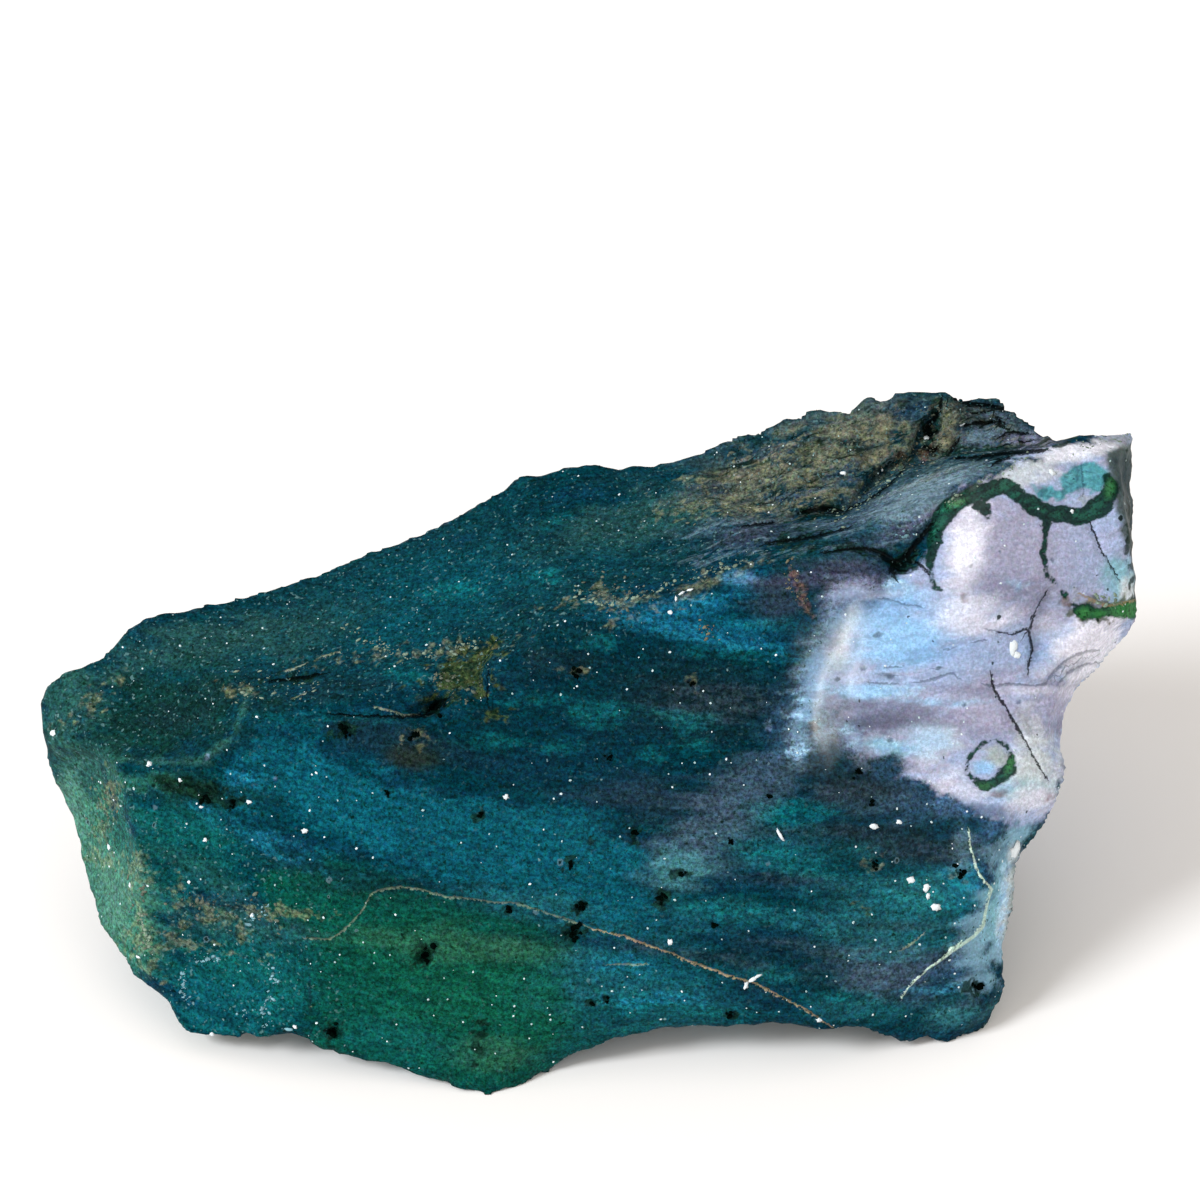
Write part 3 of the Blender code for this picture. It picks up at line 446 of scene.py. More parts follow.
# Trails of crumbs in the creases: (pigment, how many, spread in steps, line).
TRAILS = [
    ("cream_line", 110, 3, [(343, 625), (368, 641), (390, 650), (401, 655), (426, 655), (455, 648),
                            (480, 643)]),
    ("cream_line", 100, 2.4, [(571, 588), (589, 599), (602, 604), (622, 602), (642, 596),
                              (662, 588), (678, 581), (746, 561)]),
    ("tan_pale", 60, 9, [(592, 590), (612, 598), (640, 594)]),
    ("tan_pale", 50, 7, [(430, 668), (455, 690), (486, 696)]),
    ("tan_pale", 40, 6, [(106, 785), (104, 812), (98, 835), (106, 850)]),
    ("rust_line", 14, 4, [(112, 790), (108, 812)]),
    ("tan_pale", 40, 8, [(126, 865), (138, 905), (152, 935), (148, 955)]),
    ("cream_line", 40, 2, [(139, 914), (150, 950)]),
    ("tan_pale", 60, 8, [(160, 900), (190, 912), (232, 910), (275, 913)]),
    ("quartz", 14, 3, [(246, 925), (266, 908)]),
    ("quartz", 26, 2, [(183, 970), (182, 985), (186, 1002)]),
    ("quartz", 34, 3, [(272, 962), (275, 984), (262, 1014)]),
    ("quartz", 26, 2.4, [(192, 961), (206, 960), (219, 959)]),
    ("quartz", 16, 3, [(230, 1008), (262, 1024), (292, 1028)]),
    ("cream_line", 34, 8, [(236, 690), (262, 684), (300, 690), (318, 686)]),
    ("tan_pale", 90, 15, [(700, 492), (750, 470), (800, 452), (842, 456), (880, 446)]),
    ("tan_pale", 60, 8, [(680, 508), (735, 508), (780, 500), (820, 490)]),
    ("cream_line", 30, 3, [(945, 505), (967, 490), (1007, 470), (1028, 457)]),
    ("quartz", 12, 3, [(896, 540), (912, 530)]),
    ("tan_pale", 70, 7, [(944, 412), (946, 430), (936, 450), (930, 458)]),
    ("cream_line", 60, 4, [(905, 470), (870, 494), (836, 520)]),
    ("rust_line", 30, 5, [(890, 460), (912, 462), (924, 458)]),
    ("rust_line", 26, 5, [(786, 568), (790, 590), (806, 610)]),
    ("cream_line", 40, 4, [(1090, 600), (1120, 604)]),
    ("cream_line", 30, 3, [(1075, 450), (1110, 440), (1134, 434)]),
    ("rust_line", 20, 4, [(700, 625), (712, 632)]),
]

# Open pits: (across, down, radius in steps, depth in millimetres).
PITS = [
    (426, 955, 6.4, 0.7), (334, 1032, 5.6, 0.6), (582, 907, 4.8, 0.6), (574, 930, 7.2, 0.7),
    (635, 833, 4, 0.5), (571, 864, 3.2, 0.4), (592, 1003, 3.2, 0.4), (607, 999, 2.5, 0.3),
    (730, 1014, 4, 0.4), (976, 987, 6.4, 0.5), (480, 814, 3.2, 0.4), (509, 909, 4, 0.4),
    (388, 793, 3.2, 0.3), (434, 707, 6.4, 0.6), (345, 731, 5.6, 0.4), (414, 735, 4.8, 0.4),
    (961, 874, 4.8, 0.4), (875, 864, 4, 0.4), (872, 802, 4, 0.35), (575, 672, 4.8, 0.35),
    (693, 683, 3.2, 0.3), (682, 874, 4, 0.4), (662, 898, 4.8, 0.4), (610, 757, 3.2, 0.3),
    (770, 797, 2.5, 0.3), (731, 842, 3.2, 0.3), (232, 803, 4, 0.4), (205, 796, 4.8, 0.4),
    (858, 771, 4, 0.3), (714, 925, 4, 0.3),
]
# White chips of quartz: (across, down, half length, half height, tilt), in steps.
QUARTZ = [
    (1013, 647, 5, 8, 0), (1017, 655, 4, 4, 0), (874, 826, 4.5, 2.5, 20), (899, 822, 3, 2.4, 0),
    (936, 907, 5, 4, 10), (926, 888, 3, 4, 0), (911, 880, 4, 4, 0), (928, 896, 2, 3, 0),
    (752, 980, 4, 2.2, -30), (746, 985, 2, 4, 20), (758, 976, 4, 1.6, -20), (1015, 851, 6, 11, 10),
    (670, 942, 2.5, 3, 0), (53, 733, 3.5, 3.2, 0), (205, 840, 2, 2, 0), (305, 831, 3, 2.5, 0),
    (506, 797, 2.5, 2.5, 0), (670, 612, 2, 2, 0), (926, 438, 3, 3, 0), (962, 425, 3, 2.5, 0),
    (819, 1020, 3, 2, 0), (1052, 472, 4, 3, 30), (1072, 511, 2, 2, 0), (676, 599, 1.2, 3, 10),
    (682, 593, 4, 1.1, -35), (690, 590, 4, 1.2, -8), (780, 835, 1.6, 7, -30), (843, 474, 3, 3, 0),
    (295, 1027, 2, 2, 0), (109, 847, 3, 3, 0), (149, 764, 3.2, 4, 0), (180, 780, 2, 2, 0),
    (249, 802, 3, 2, 0), (201, 807, 2, 1.6, 0), (189, 882, 1.6, 1.6, 0), (130, 885, 1.4, 3, -10),
    (138, 957, 3, 1.4, 0), (212, 1034, 2.4, 2, 0), (252, 915, 2, 2, 0), (882, 470, 1.6, 1.6, 0),
]


# -------- the fine surface

CELL = 0.42  # spacing of the fine surface, in millimetres
WEAR = 10  # how many times it is evened out
FOOT = 0.16  # millimetres: what lies lower than this is made flat on the table


def merged_copy(node):
    """A merged copy of a frame solid's mesh."""
    mesh = bmesh.new()
    mesh.from_mesh(node.data)
    bmesh.ops.remove_doubles(mesh, verts=mesh.verts, dist=1e-6)
    data = bpy.data.meshes.new("fine stone")
    mesh.to_mesh(data)
    mesh.free()
    return data


def linked(name, data):
    piece = bpy.data.objects.new(name, data)
    bpy.context.scene.collection.objects.link(piece)
    return piece


def baked(piece):
    """Works the piece's modifiers into its mesh, and takes them off."""
    graph = bpy.context.evaluated_depsgraph_get()
    data = bpy.data.meshes.new_from_object(piece.evaluated_get(graph), depsgraph=graph)
    piece.modifiers.clear()
    piece.data = data
    return data


def eased(share):
    share = np.clip(share, 0, 1)
    return share * share * (3 - 2 * share)


class Surface:
    """The fine surface while it is worked: its points in millimetres, and where each is on the sheet."""

    def __init__(self, data):
        self.data = data
        points = np.empty(len(data.vertices) * 3)
        data.vertices.foreach_get("co", points)
        self.points = points.reshape(-1, 3) / MM
        self.settle()

    def settle(self):
        """Writes the moves into the mesh, and reads afresh how each point faces and where it is seen."""
        self.data.vertices.foreach_set("co", (self.points * MM).ravel())
        self.data.update()
        normals = np.empty(self.points.size)
        self.data.vertex_normals.foreach_get("vector", normals)
        self.normals = normals.reshape(-1, 3)
        arm = self.points - SHEET_MIDDLE
        self.near = arm @ TO_EYE
        grow = EYE_DISTANCE / (EYE_DISTANCE - self.near) / STEP
        middle = SHEET_STEPS / 2
        self.seen = np.column_stack([middle + arm @ ACROSS * grow, middle - arm @ UP * grow])
        self.shown = eased(self.normals @ TO_EYE / CUT_FACING)

    def look_at_sheet(self):
        """Keeps how far each point faces the sheet, and where it lies along the flow of the stone."""
        self.faced = eased(self.normals @ TO_EYE / MARK_FACING + 0.6)
        self.across = (self.seen[:, 0] - SHEET_STEPS / 2) * STEP
        self.up = (SHEET_STEPS / 2 - self.seen[:, 1]) * STEP
        bend = FLOW_SLOPE * self.across + FLOW_BEND * self.across**2 / 2
        self.flow = np.column_stack([self.across, self.up - bend, self.near])

    def sink(self, depth):
        """Moves the points of the broad side straight back from the sheet."""
        self.points -= (depth * self.shown)[:, None] * TO_EYE

    def push(self, height):
        self.points += height[:, None] * self.normals

    def waves(self, size, seed=0.0):
        offset = Vector((seed, -seed, 2 * seed))
        return np.array([noise.noise(Vector(p) / size + offset) for p in self.points])

    def lumps(self, size, octaves=3):
        return np.array([noise.turbulence(Vector(p) / size, octaves, True) for p in self.points])

    def fibres(self, length, height, seed):
        """Noise about nought, drawn out along the flow. The fibres' size is in millimetres."""
        places = self.flow / (length, height, height) + seed * 7.3
        return np.array([noise.fractal(Vector(p), 0.7, 2.1, 4) for p in places])

    def write(self, name, values):
        """Keeps one number for each point as an attribute that the materials read."""
        attribute = self.data.attributes.new(name, "FLOAT", "POINT")
        attribute.data.foreach_set("value", np.asarray(values, dtype=np.float32))

    def write_field(self, name, drawn, behind=None):
        """Keeps a field of millimetres, with another in its place on the sides that face away."""
        if behind is not None:
            drawn = np.where(self.faced > 0.5, drawn, behind)
        self.write(name, np.clip(drawn, -FIELD_LIMIT, FIELD_LIMIT))

    def write_vector(self, name, values):
        attribute = self.data.attributes.new(name, "FLOAT_VECTOR", "POINT")
        attribute.data.foreach_set("vector", np.asarray(values, dtype=np.float32).ravel())

    def write_colour(self, name, values):
        attribute = self.data.attributes.new(name, "FLOAT_COLOR", "POINT")
        colours = np.column_stack([values, np.ones(len(values))])
        attribute.data.foreach_set("color", np.asarray(colours, dtype=np.float32).ravel())


def segments(line):
    corners = np.array(line, dtype=float)
    return zip(corners[:-1], corners[1:])


def near_segment(seen, start, end):
    """(gap to the segment, share of it run so far, signed gap to its straight line)."""
    run = end - start
    length = max(np.linalg.norm(run), 1e-9)
    arm = seen - start
    share = np.clip(arm @ run / length**2, 0, 1)
    gap = np.linalg.norm(arm - share[:, None] * run, axis=1)
    aside = (arm[:, 0] * run[1] - arm[:, 1] * run[0]) / length
    return gap, share, aside


def stroke_pieces(strokes):
    """Each straight piece of each stroke: its two ends, and its half width at each."""
    for stroke in strokes:
        widths = [w for _, _, w in stroke]
        places = [(x, y) for x, y, _ in stroke]
        for (start, end), first, last in zip(segments(places), widths, widths[1:]):
            yield start, end, first, last


def along_strokes(seen, strokes):
    """(signed gap to the nearest stroke, how far past its end, its half width there), in millimetres.

    The gap is positive on the stroke's left, so that it runs evenly through nought.
    """
    best = np.full(len(seen), FAR)
    aside_best = np.zeros(len(seen))
    width = np.zeros(len(seen))
    for start, end, first, last in stroke_pieces(strokes):
        gap, share, aside = near_segment(seen, start, end)
        tie = np.abs(gap - best) < SAME
        nearer = (gap < best - SAME) | (tie & (np.abs(aside) > np.abs(aside_best)))
        best[nearer] = gap[nearer]
        aside_best[nearer] = aside[nearer]
        width[nearer] = (first + (last - first) * share)[nearer]
    past = np.sqrt(np.maximum(best**2 - aside_best**2, 0))
    return np.where(aside_best < 0, -best, best) * STEP, past * STEP, width * STEP


def stroke_field(seen, strokes):
    """Millimetres inside the strokes' edges, each stroke a line whose half width changes along it."""
    field = np.full(len(seen), -FAR)
    for start, end, first, last in stroke_pieces(strokes):
        gap, share, _ = near_segment(seen, start, end)
        field = np.maximum(field, first + (last - first) * share - gap)
    return field * STEP


def ellipse_reach(seen, x, y, length, height, tilt):
    """How far out in a tilted ellipse each place lies: nought at its middle, 1 on its edge."""
    turn = math.radians(tilt)
    arm = seen - (x, y)
    along = arm @ (math.cos(turn), math.sin(turn)) / length
    across = arm @ (-math.sin(turn), math.cos(turn)) / height
    return np.hypot(along, across)


def disc_reach(seen, x, y):
    """How many steps each place lies from a point on the sheet."""
    return np.hypot(seen[:, 0] - x, seen[:, 1] - y)


def patch_field(seen, patches):
    """About how many millimetres inside the patches' edges each place lies."""
    field = np.full(len(seen), -FAR)
    for x, y, length, height, tilt in patches:
        out = ellipse_reach(seen, x, y, length, height, tilt)
        field = np.maximum(field, (1 - out) * min(length, height))
    return field * STEP


def zone_field(seen, zones):
    """Millimetres inside the zones' edges, and less than nought outside them."""
    field = np.full(len(seen), -FAR)
    x, y = seen.T
    for corners in zones:
        gap = np.full(len(seen), FAR)
        held = np.zeros(len(seen), bool)
        for start, end in segments(corners + corners[:1]):
            gap = np.minimum(gap, near_segment(seen, start, end)[0])
            (x0, y0), (x1, y1) = start, end
            if y0 != y1:
                held ^= ((y0 > y) != (y1 > y)) & (x < (x1 - x0) * (y - y0) / (y1 - y0) + x0)
        field = np.maximum(field, np.where(held, gap, -gap))
    return field * STEP


# Unevenness that is left on every break: (size of its swells, height), in millimetres.
UNEVEN = [(5.0, 0.10), (2.0, 0.05), (0.9, 0.022)]
# Bites along the stone's edges: (size, depth), in millimetres, and how much more of the edge they take
# than they leave standing out.
BITES = [(2.2, 0.28), (0.9, 0.14)]
BITE_SHIFT = 0.15
RIM_SWELL = 0.25  # how far the edge stands out again after the wear, in millimetres
# Creases where one side drops away: (line, drop in millimetres, reach in steps). The side on the right of
# the line sinks.
LEDGES = [
    ([(1028, 675), (1029, 663), (1032, 649), (1029, 633), (1032, 620), (1039, 604), (1047, 591)],
     0.25, 26),
    ([(991, 673), (1001, 700), (1017, 727), (1033, 756), (1048, 781)], 0.16, 20),
    ([(1049, 679), (1057, 668), (1071, 657), (1084, 652), (1098, 650)], 0.30, 16),
    ([(1055, 679), (1065, 670), (1079, 664), (1097, 661)], 0.22, 12),
    ([(310, 1040), (311, 1015), (310, 990), (309, 965)], 0.30, 30),
    ([(203, 904), (232, 907), (260, 911), (285, 914)], 0.15, 26),
    ([(343, 625), (368, 641), (390, 650), (426, 655), (455, 648), (476, 645)], 0.20, 22),
    ([(571, 588), (589, 599), (602, 604), (622, 602), (642, 596), (662, 588), (678, 581),
      (716, 574), (746, 561)], 0.25, 22),
    ([(138, 763), (167, 762), (196, 758), (217, 747), (232, 733), (242, 711), (253, 693),
      (264, 679)], -0.12, 20),
    ([(318, 657), (296, 668), (268, 675)], 0.20, 20),
    ([(841, 601), (887, 599), (924, 607), (967, 599)], 0.10, 20),
    ([(948, 401), (980, 406), (1000, 409), (1012, 412)], 0.8, 12),
    ([(960, 424), (985, 422), (1008, 423), (1022, 424)], 0.9, 13),
    ([(996, 440), (1010, 433), (1022, 433), (1034, 435)], 0.6, 10),
    ([(905, 466), (940, 458), (985, 456), (1048, 450)], 0.6, 13),
    ([(735, 520), (790, 523), (830, 510), (868, 488), (905, 464)], 0.35, 20),
]
# A swell that runs down from the pale end and catches the light: its crest, its height in millimetres and
# its reach in steps.
SWELL = ([(852, 596, 1), (842, 622, 1), (826, 664, 1), (809, 706, 1), (790, 750, 1), (764, 796, 1)],
         0.34, 34)
# Places where the fine surface stands out or lies back from the frame's solid: (across, down, reach in
# steps, move to the right, move up), the moves in millimetres.
NUDGES = [
    (578, 474, 50, 0.0, 0.75), (722, 444, 26, 0.0, 0.35), (962, 394, 20, 0.0, -0.7),
    (670, 464, 30, 0.0, -0.3), (800, 416, 24, 0.0, -0.3), (70, 775, 40, -0.8, 0.0),
    (150, 965, 44, -1.3, -0.4), (200, 1022, 50, -0.6, -0.7), (975, 1015, 44, 0.6, -0.9),
    (924, 1040, 22, 0.0, 0.5), (1014, 860, 34, -0.7, 0.0), (1112, 440, 24, 0.0, -0.4),
    (1012, 414, 9, 0.35, 0.25), (1031, 427, 9, 0.25, 0.3), (1047, 440, 9, 0.2, 0.35),
]
# The weathered crust, in millimetres: which way its scales run, their size along, across and up, their
# height, and the height and size of the lumps between them.
CRUST_RUN = (0.93, 0.33, 0.16)
SCALE_SIZE = (2.6, 1.1, 0.9)
SCALE_HEIGHT, LUMP_HEIGHT, LUMP_SIZE = 0.40, 0.28, 1.1
# What the drawn lines cut: (strokes, how far past a stroke's edge the cut reaches, least depth), in
# millimetres. A seam stands out.
CUTS = [
    (CRACKS, 0.32, 0.26), (FOLDS, 0.50, 0.12), (SEAMS, 0.50, -0.10),
    (RUST_LINES + FAINT_LINES, 0.32, 0.05), (CREAM_LINES, 0.40, 0.06),
]
DEPTH_BY_WIDTH = 0.5  # a stroke is cut deeper by this share of its half width
VEIN_DEPTH = 0.10  # millimetres


def nudge(surface):
    """Moves the surface out or back at a few places, so that the outline is right."""
    for x, y, reach, right, up in NUDGES:
        near = 1 - eased(disc_reach(surface.seen, x, y) / reach)
        surface.points += near[:, None] * (right * ACROSS + up * UP)


def drop_ledges(surface):
    """Lowers one side of each crease, most at the middle of its line."""
    seen = surface.seen
    for line, drop, reach in LEDGES:
        best = np.full(len(seen), FAR)
        right = np.zeros(len(seen))
        along = np.zeros(len(seen))
        pieces = list(segments(line))
        lengths = [np.linalg.norm(end - start) for start, end in pieces]
        done = 0.0
        for (start, end), length in zip(pieces, lengths):
            gap, share, aside = near_segment(seen, start, end)
            nearer = gap < best
            best[nearer] = gap[nearer]
            right[nearer] = aside[nearer] < 0
            along[nearer] = (done + share[nearer] * length) / sum(lengths)
            done += length
        surface.sink(drop * right * np.sin(math.pi * along) * (1 - eased(best / reach)))


def raise_swell(surface):
    """Raises the soft ridge beside the pale end."""
    line, height, reach = SWELL
    gap, _, _ = along_strokes(surface.seen, [line])
    surface.sink(-height * (1 - eased(np.abs(gap) / STEP / reach)))


def crusted(surface):
    """Height of the weathered crust: scales along the crest, cut short by sharp little steps."""
    along = surface.points @ CRUST_RUN
    places = np.column_stack([along, surface.points[:, 1], surface.points[:, 2]]) / SCALE_SIZE
    scales = np.array([noise.ridged_multi_fractal(Vector(p), 0.8, 2.2, 4, 0.9, 2.0) for p in places])
    return SCALE_HEIGHT * (scales - 1.2) + LUMP_HEIGHT * (surface.lumps(LUMP_SIZE) - 0.5)


def cut_strokes(surface, strokes, lip, depth):
    """Cuts the strokes in: the wider, the deeper."""
    gap, _, width = along_strokes(surface.seen, strokes)
    surface.sink((depth + DEPTH_BY_WIDTH * width) * (1 - eased(np.abs(gap) / (lip + width))))


def dig_pits(surface):
    """Digs round pits whose rims are a little ragged."""
    ragged = 0.75 + 0.5 * surface.waves(0.8, seed=5.0)
    for x, y, radius, depth in PITS:
        gap = disc_reach(surface.seen, x, y) / (radius * ragged + 1.0)
        surface.sink(depth * np.sqrt(np.clip(1 - gap**2, 0, 1)))


def work_surface(surface):
    """Works chips, cracks, pits and crust into the fine surface."""
    for number, (size, height) in enumerate(UNEVEN):
        surface.push(height * surface.waves(size, seed=2.3 * number))
    edge = 1 - eased(np.abs(surface.normals @ TO_EYE) / RIM_FACING)
    surface.push(RIM_SWELL * edge)
    nudge(surface)
    for size, depth in BITES:
        surface.push(depth * edge * (surface.waves(size, seed=9.1) - BITE_SHIFT))
    surface.settle()
    drop_ledges(surface)
    raise_swell(surface)
    surface.settle()
    crust = eased(zone_field(surface.seen, ZONES["crust"]) / 1.2 + 0.3) * surface.shown
    surface.push(crust * crusted(surface))
    surface.settle()
    for strokes, lip, depth in CUTS:
        cut_strokes(surface, strokes, lip, depth)
    surface.sink(VEIN_DEPTH * eased(stroke_field(surface.seen, VEINS) / 0.4 + 0.5))
    dig_pits(surface)
    surface.points[surface.points[:, 2] < FOOT, 2] = 0.0
    surface.settle()


# -------- the markings

# Which way the grain of the markings runs: its slope at the sheet's middle, and how much the slope grows
# in each millimetre to the right.
FLOW_SLOPE, FLOW_BEND = -0.10, 0.0062
# Softness of the broad zones' edges, in millimetres, and how strongly each covers what is under it.
ZONE_EDGES = {"green": (3.0, 0.9), "blue": (1.6, 0.9), "night": (2.0, 0.7)}
# Bands of fibres: (pigment, the fibres' length and height in millimetres, seed, how sharply a band ends,
# how far it spreads, strength). They lie over one another in this order.
LONG_BANDS = [("navy", 14, 2.2, 1, 1, 0.5, 1.0)]
HIDDEN_BANDS = [
    ("blue", 10, 6, 3, 5, -0.25, 1.0), ("green", 16, 8, 4, 5, -0.25, 1.0),
    ("umber", 12, 3, 5, 5, -0.75, 0.8), ("slate", 12, 4, 6, 5, -1.0, 0.8),
]
CRUST_BANDS = [("tan", 3.4, 1.2, 9, 5, -0.1, 0.60), ("night", 3.4, 1.2, 9, -5, -0.1, 0.65)]
PALE_BANDS = [("mauve", 8, 1.6, 7, 3, 0.2, 0.7)]
HIDDEN_PALE_BANDS = [("sky", 9, 2.4, 8, 4, -0.2, 0.6), ("milk", 10, 6, 3, 4, 0.0, 0.7)]
# The edge of the pale end is sharp from its start, in steps, and softens over its reach to the left:
# (start, reach, softness at the start, how much softer it gets), the softness in millimetres.
PALE_EDGE = (930, 90, 0.7, 3.4)
# How far the fibres move an edge to and fro: that of a broad zone, the pale end, the facet's painted
# shade and a vein in millimetres, and that of a wash as a share of its size.
ZONE_WANDER, PALE_WANDER, FACET_SHADE_WANDER, VEIN_WANDER, WASH_WANDER = 2.2, 1.1, 0.3, 0.34, 0.45
WASH_HEART, WASH_FADE = 0.30, 0.85  # shares of a wash's size: where it is full, and over which it fades
CRUST_LIMIT = 6.0  # millimetres, as the field limit
CRUST_SLANT = math.radians(20)
# How dusty the stone is away from its dusty sides, how dusty the sides that face away are, and how much of
# the dust the pale end is free of.
LEAST_DUST, HIDDEN_DUST, PALE_CLEAN = 0.22, 0.5, 0.85

# Patches of pigment: (field, its fibres' length, their height, raggedness, softness, strength, the fibre
# height above which it also shows on the hidden side, or None), in millimetres. They lie over one another
# in this order.
LAYERS = [
    ("umber", 7.0, 1.0, 0.7, 0.60, 0.50, 0.30),
    ("teal", 3.2, 0.8, 0.45, 0.60, 0.42, 0.34),
    ("azure", 3.6, 0.7, 0.5, 0.55, 0.50, 0.40),
    ("sky", 3.0, 0.7, 0.5, 0.45, 0.70, None),
    ("turquoise", 1.4, 0.9, 0.5, 0.25, 0.85, None),
    ("olive", 1.4, 0.9, 1.2, 0.35, 0.80, None),
    ("ochre", 0.9, 0.6, 1.4, 0.45, 0.34, 0.52),
    ("moss", 0.9, 0.6, 1.0, 0.20, 0.85, 0.60),
    ("rust", 0.9, 0.6, 0.45, 0.25, 0.65, None),
    ("spot", 0.9, 0.6, 0.25, 0.12, 0.75, None),
]
# Drawn lines: (field, pigment, strokes, wander in millimetres, strength, whether it runs unbroken).
LINES = [
    ("cream line", "cream_line", CREAM_LINES, 0.9, 0.45, False),
    ("seam", "seam", SEAMS, 0.8, 0.85, True),
    ("rust line", "rust_line", RUST_LINES, 1.2, 0.72, True),
    ("faint line", "faint_line", FAINT_LINES, 1.0, 0.60, True),
    # Folds are drawn dark: partly the stone's own lines, partly painted shade along folds and small edges.
    ("fold", "dark_line_and_fold_shade", FOLDS, 1.0, 0.50, False),
    # Cracks and crevices are drawn near black, as painted shade.
    ("crack", "crack", CRACKS, 1.2, 0.92, True),
]
# Where the veins are bright green, in the same terms as the patches.
GLOWING = [
    (1084, 613, 9, 8, 0), (1100, 614, 14, 6, 0), (1124, 610, 18, 12, 0), (1010, 765, 5, 12, 20),
    (984, 786, 10, 4, 0), (1110, 488, 6, 12, 10), (958, 503, 12, 4, -20),
]
# Where the stone is dusted with tiny pale specks, in the same terms as the patches.
DUSTY = [
    (420, 600, 420, 100, -15), (90, 800, 80, 180, -12), (230, 980, 130, 90, 8),
    (860, 450, 190, 70, -16), (200, 880, 120, 60, 10),
]
# Where the pale end is smooth enough to shine, in the same terms as the patches.
POLISHED = [(824, 684, 50, 120, 17), (966, 548, 34, 80, 10)]

# How much red, green and blue each count in a colour's lightness.
LIGHTNESS = np.array([0.2126, 0.7152, 0.0722])


def mixed(under, over, share):
    return under + (over - under) * np.asarray(share)[:, None]


def washed(surface, ground, washes, looks, wander):
    """Lays soft washes of pigment over the ground colours."""
    for name, x, y, length, height, tilt, strength in washes:
        out = ellipse_reach(surface.seen, x, y, length, height, tilt)
        mask = strength * (1 - eased((out + WASH_WANDER * wander - WASH_HEART) / WASH_FADE))
        ground = mixed(ground, np.array(getattr(looks, name)), mask)
    return ground


def banded(surface, ground, bands, looks, share=1.0):
    """Lays bands of fibres over the ground colours."""
    for name, length, height, seed, gain, shift, strength in bands:
        mask = strength * share * eased(surface.fibres(length, height, seed) * gain + shift)
        ground = mixed(ground, np.array(getattr(looks, name)), mask)
    return ground


def broad_colours(surface, looks, wander):
    """The dark stone's colours: fibres, broad zones, washes and crust, and bands where it is hidden."""
    seen = surface.seen
    deep = np.tile(np.array(looks.deep), (len(seen), 1))
    ground = banded(surface, deep, LONG_BANDS, looks)
    hidden = banded(surface, ground, HIDDEN_BANDS, looks)
    for name, (soft, strength) in ZONE_EDGES.items():
        edge = zone_field(seen, ZONES[name]) + ZONE_WANDER * wander
        ground = mixed(ground, np.array(getattr(looks, name)), strength * eased(edge / soft + 0.5))
    ground = washed(surface, ground, WASHES, looks, wander)
    crust = eased(zone_field(seen, ZONES["crust"]) / 2.0 + 0.3)
    ground = banded(surface, ground, CRUST_BANDS, looks, crust)
    ground = washed(surface, ground, CRUST_WASHES, looks, wander)
    return mixed(hidden, ground, surface.faced)


def pale_colours(surface, looks, wander):
    """The colours of the pale end, with painted shade on the facet at its tip, which faces away from the
    light.
    """
    seen = surface.seen
    lavender = np.tile(np.array(looks.lavender), (len(seen), 1))
    ground = banded(surface, lavender, PALE_BANDS, looks)
    hidden = banded(surface, ground, HIDDEN_PALE_BANDS, looks)
    pale = mixed(hidden, washed(surface, ground, PALE_WASHES, looks, wander), surface.faced)
    facet = zone_field(seen, ZONES["facet"]) + FACET_SHADE_WANDER * wander
    # The facet is painted darker, with the facet shade over all of it and night deeper in: painted shade
    # where it faces away from the light.
    rim = 0.95 * eased(facet / 0.5 + 0.5) * surface.faced
    heart = 0.8 * eased((facet - 0.9) / 1.2 + 0.5) * surface.faced
    return mixed(mixed(pale, np.array(looks.facet_shade), rim), np.array(looks.night), heart)


def ground_colours(surface, looks):
    """The ground colour at each point. It keeps where the stone is pale, and where it is calm."""
    wander = surface.fibres(7, 1.3, seed=2)
    dark = broad_colours(surface, looks, wander)
    pale = pale_colours(surface, looks, wander)
    start, reach, sharp, softer = PALE_EDGE
    soft = sharp + softer * eased((start - surface.seen[:, 0]) / reach)
    inside = zone_field(surface.seen, ZONES["lavender"]) + PALE_WANDER * wander
    surface.pale = eased(inside / soft + 0.5)
    ground = mixed(dark, pale, surface.pale)
    surface.write("pale", surface.pale)
    surface.write("calm", np.maximum(surface.pale, eased((ground @ LIGHTNESS - 0.08) / 0.20)))
    return ground


def write_crust(surface):
    """Keeps the crust, the slaty slope beside it, and the slant that their streaks run along."""
    turned = np.column_stack([
        surface.across * math.cos(CRUST_SLANT) + surface.up * math.sin(CRUST_SLANT),
        surface.up * math.cos(CRUST_SLANT) - surface.across * math.sin(CRUST_SLANT), surface.near])
    surface.write_vector("slant", turned)
    slaty = zone_field(surface.seen, ZONES["slaty"])
    surface.write("slaty", eased(slaty / 1.6 + 0.4) * surface.faced)
    crust = np.clip(zone_field(surface.seen, ZONES["crust"]), -CRUST_LIMIT, CRUST_LIMIT)
    surface.write("crust", crust * surface.faced - CRUST_LIMIT * (1 - surface.faced))


def write_lines(surface):
    """Keeps the gap to each kind of drawn line, and its half width, which is nought away from it."""
    broken = eased(0.6 + 1.6 * surface.waves(2.4, seed=4.0))
    for name, _, strokes, _, _, whole in LINES:
        gap, past, width = along_strokes(surface.seen, strokes)
        surface.write_field(name, gap)
        beside = 1 - eased((np.abs(gap) - width - 0.5) / 0.4)
        kept = beside * (1 - eased((past - width) / 0.3)) * surface.faced
        surface.write(name + " width", width * kept * (1 if whole else broken))


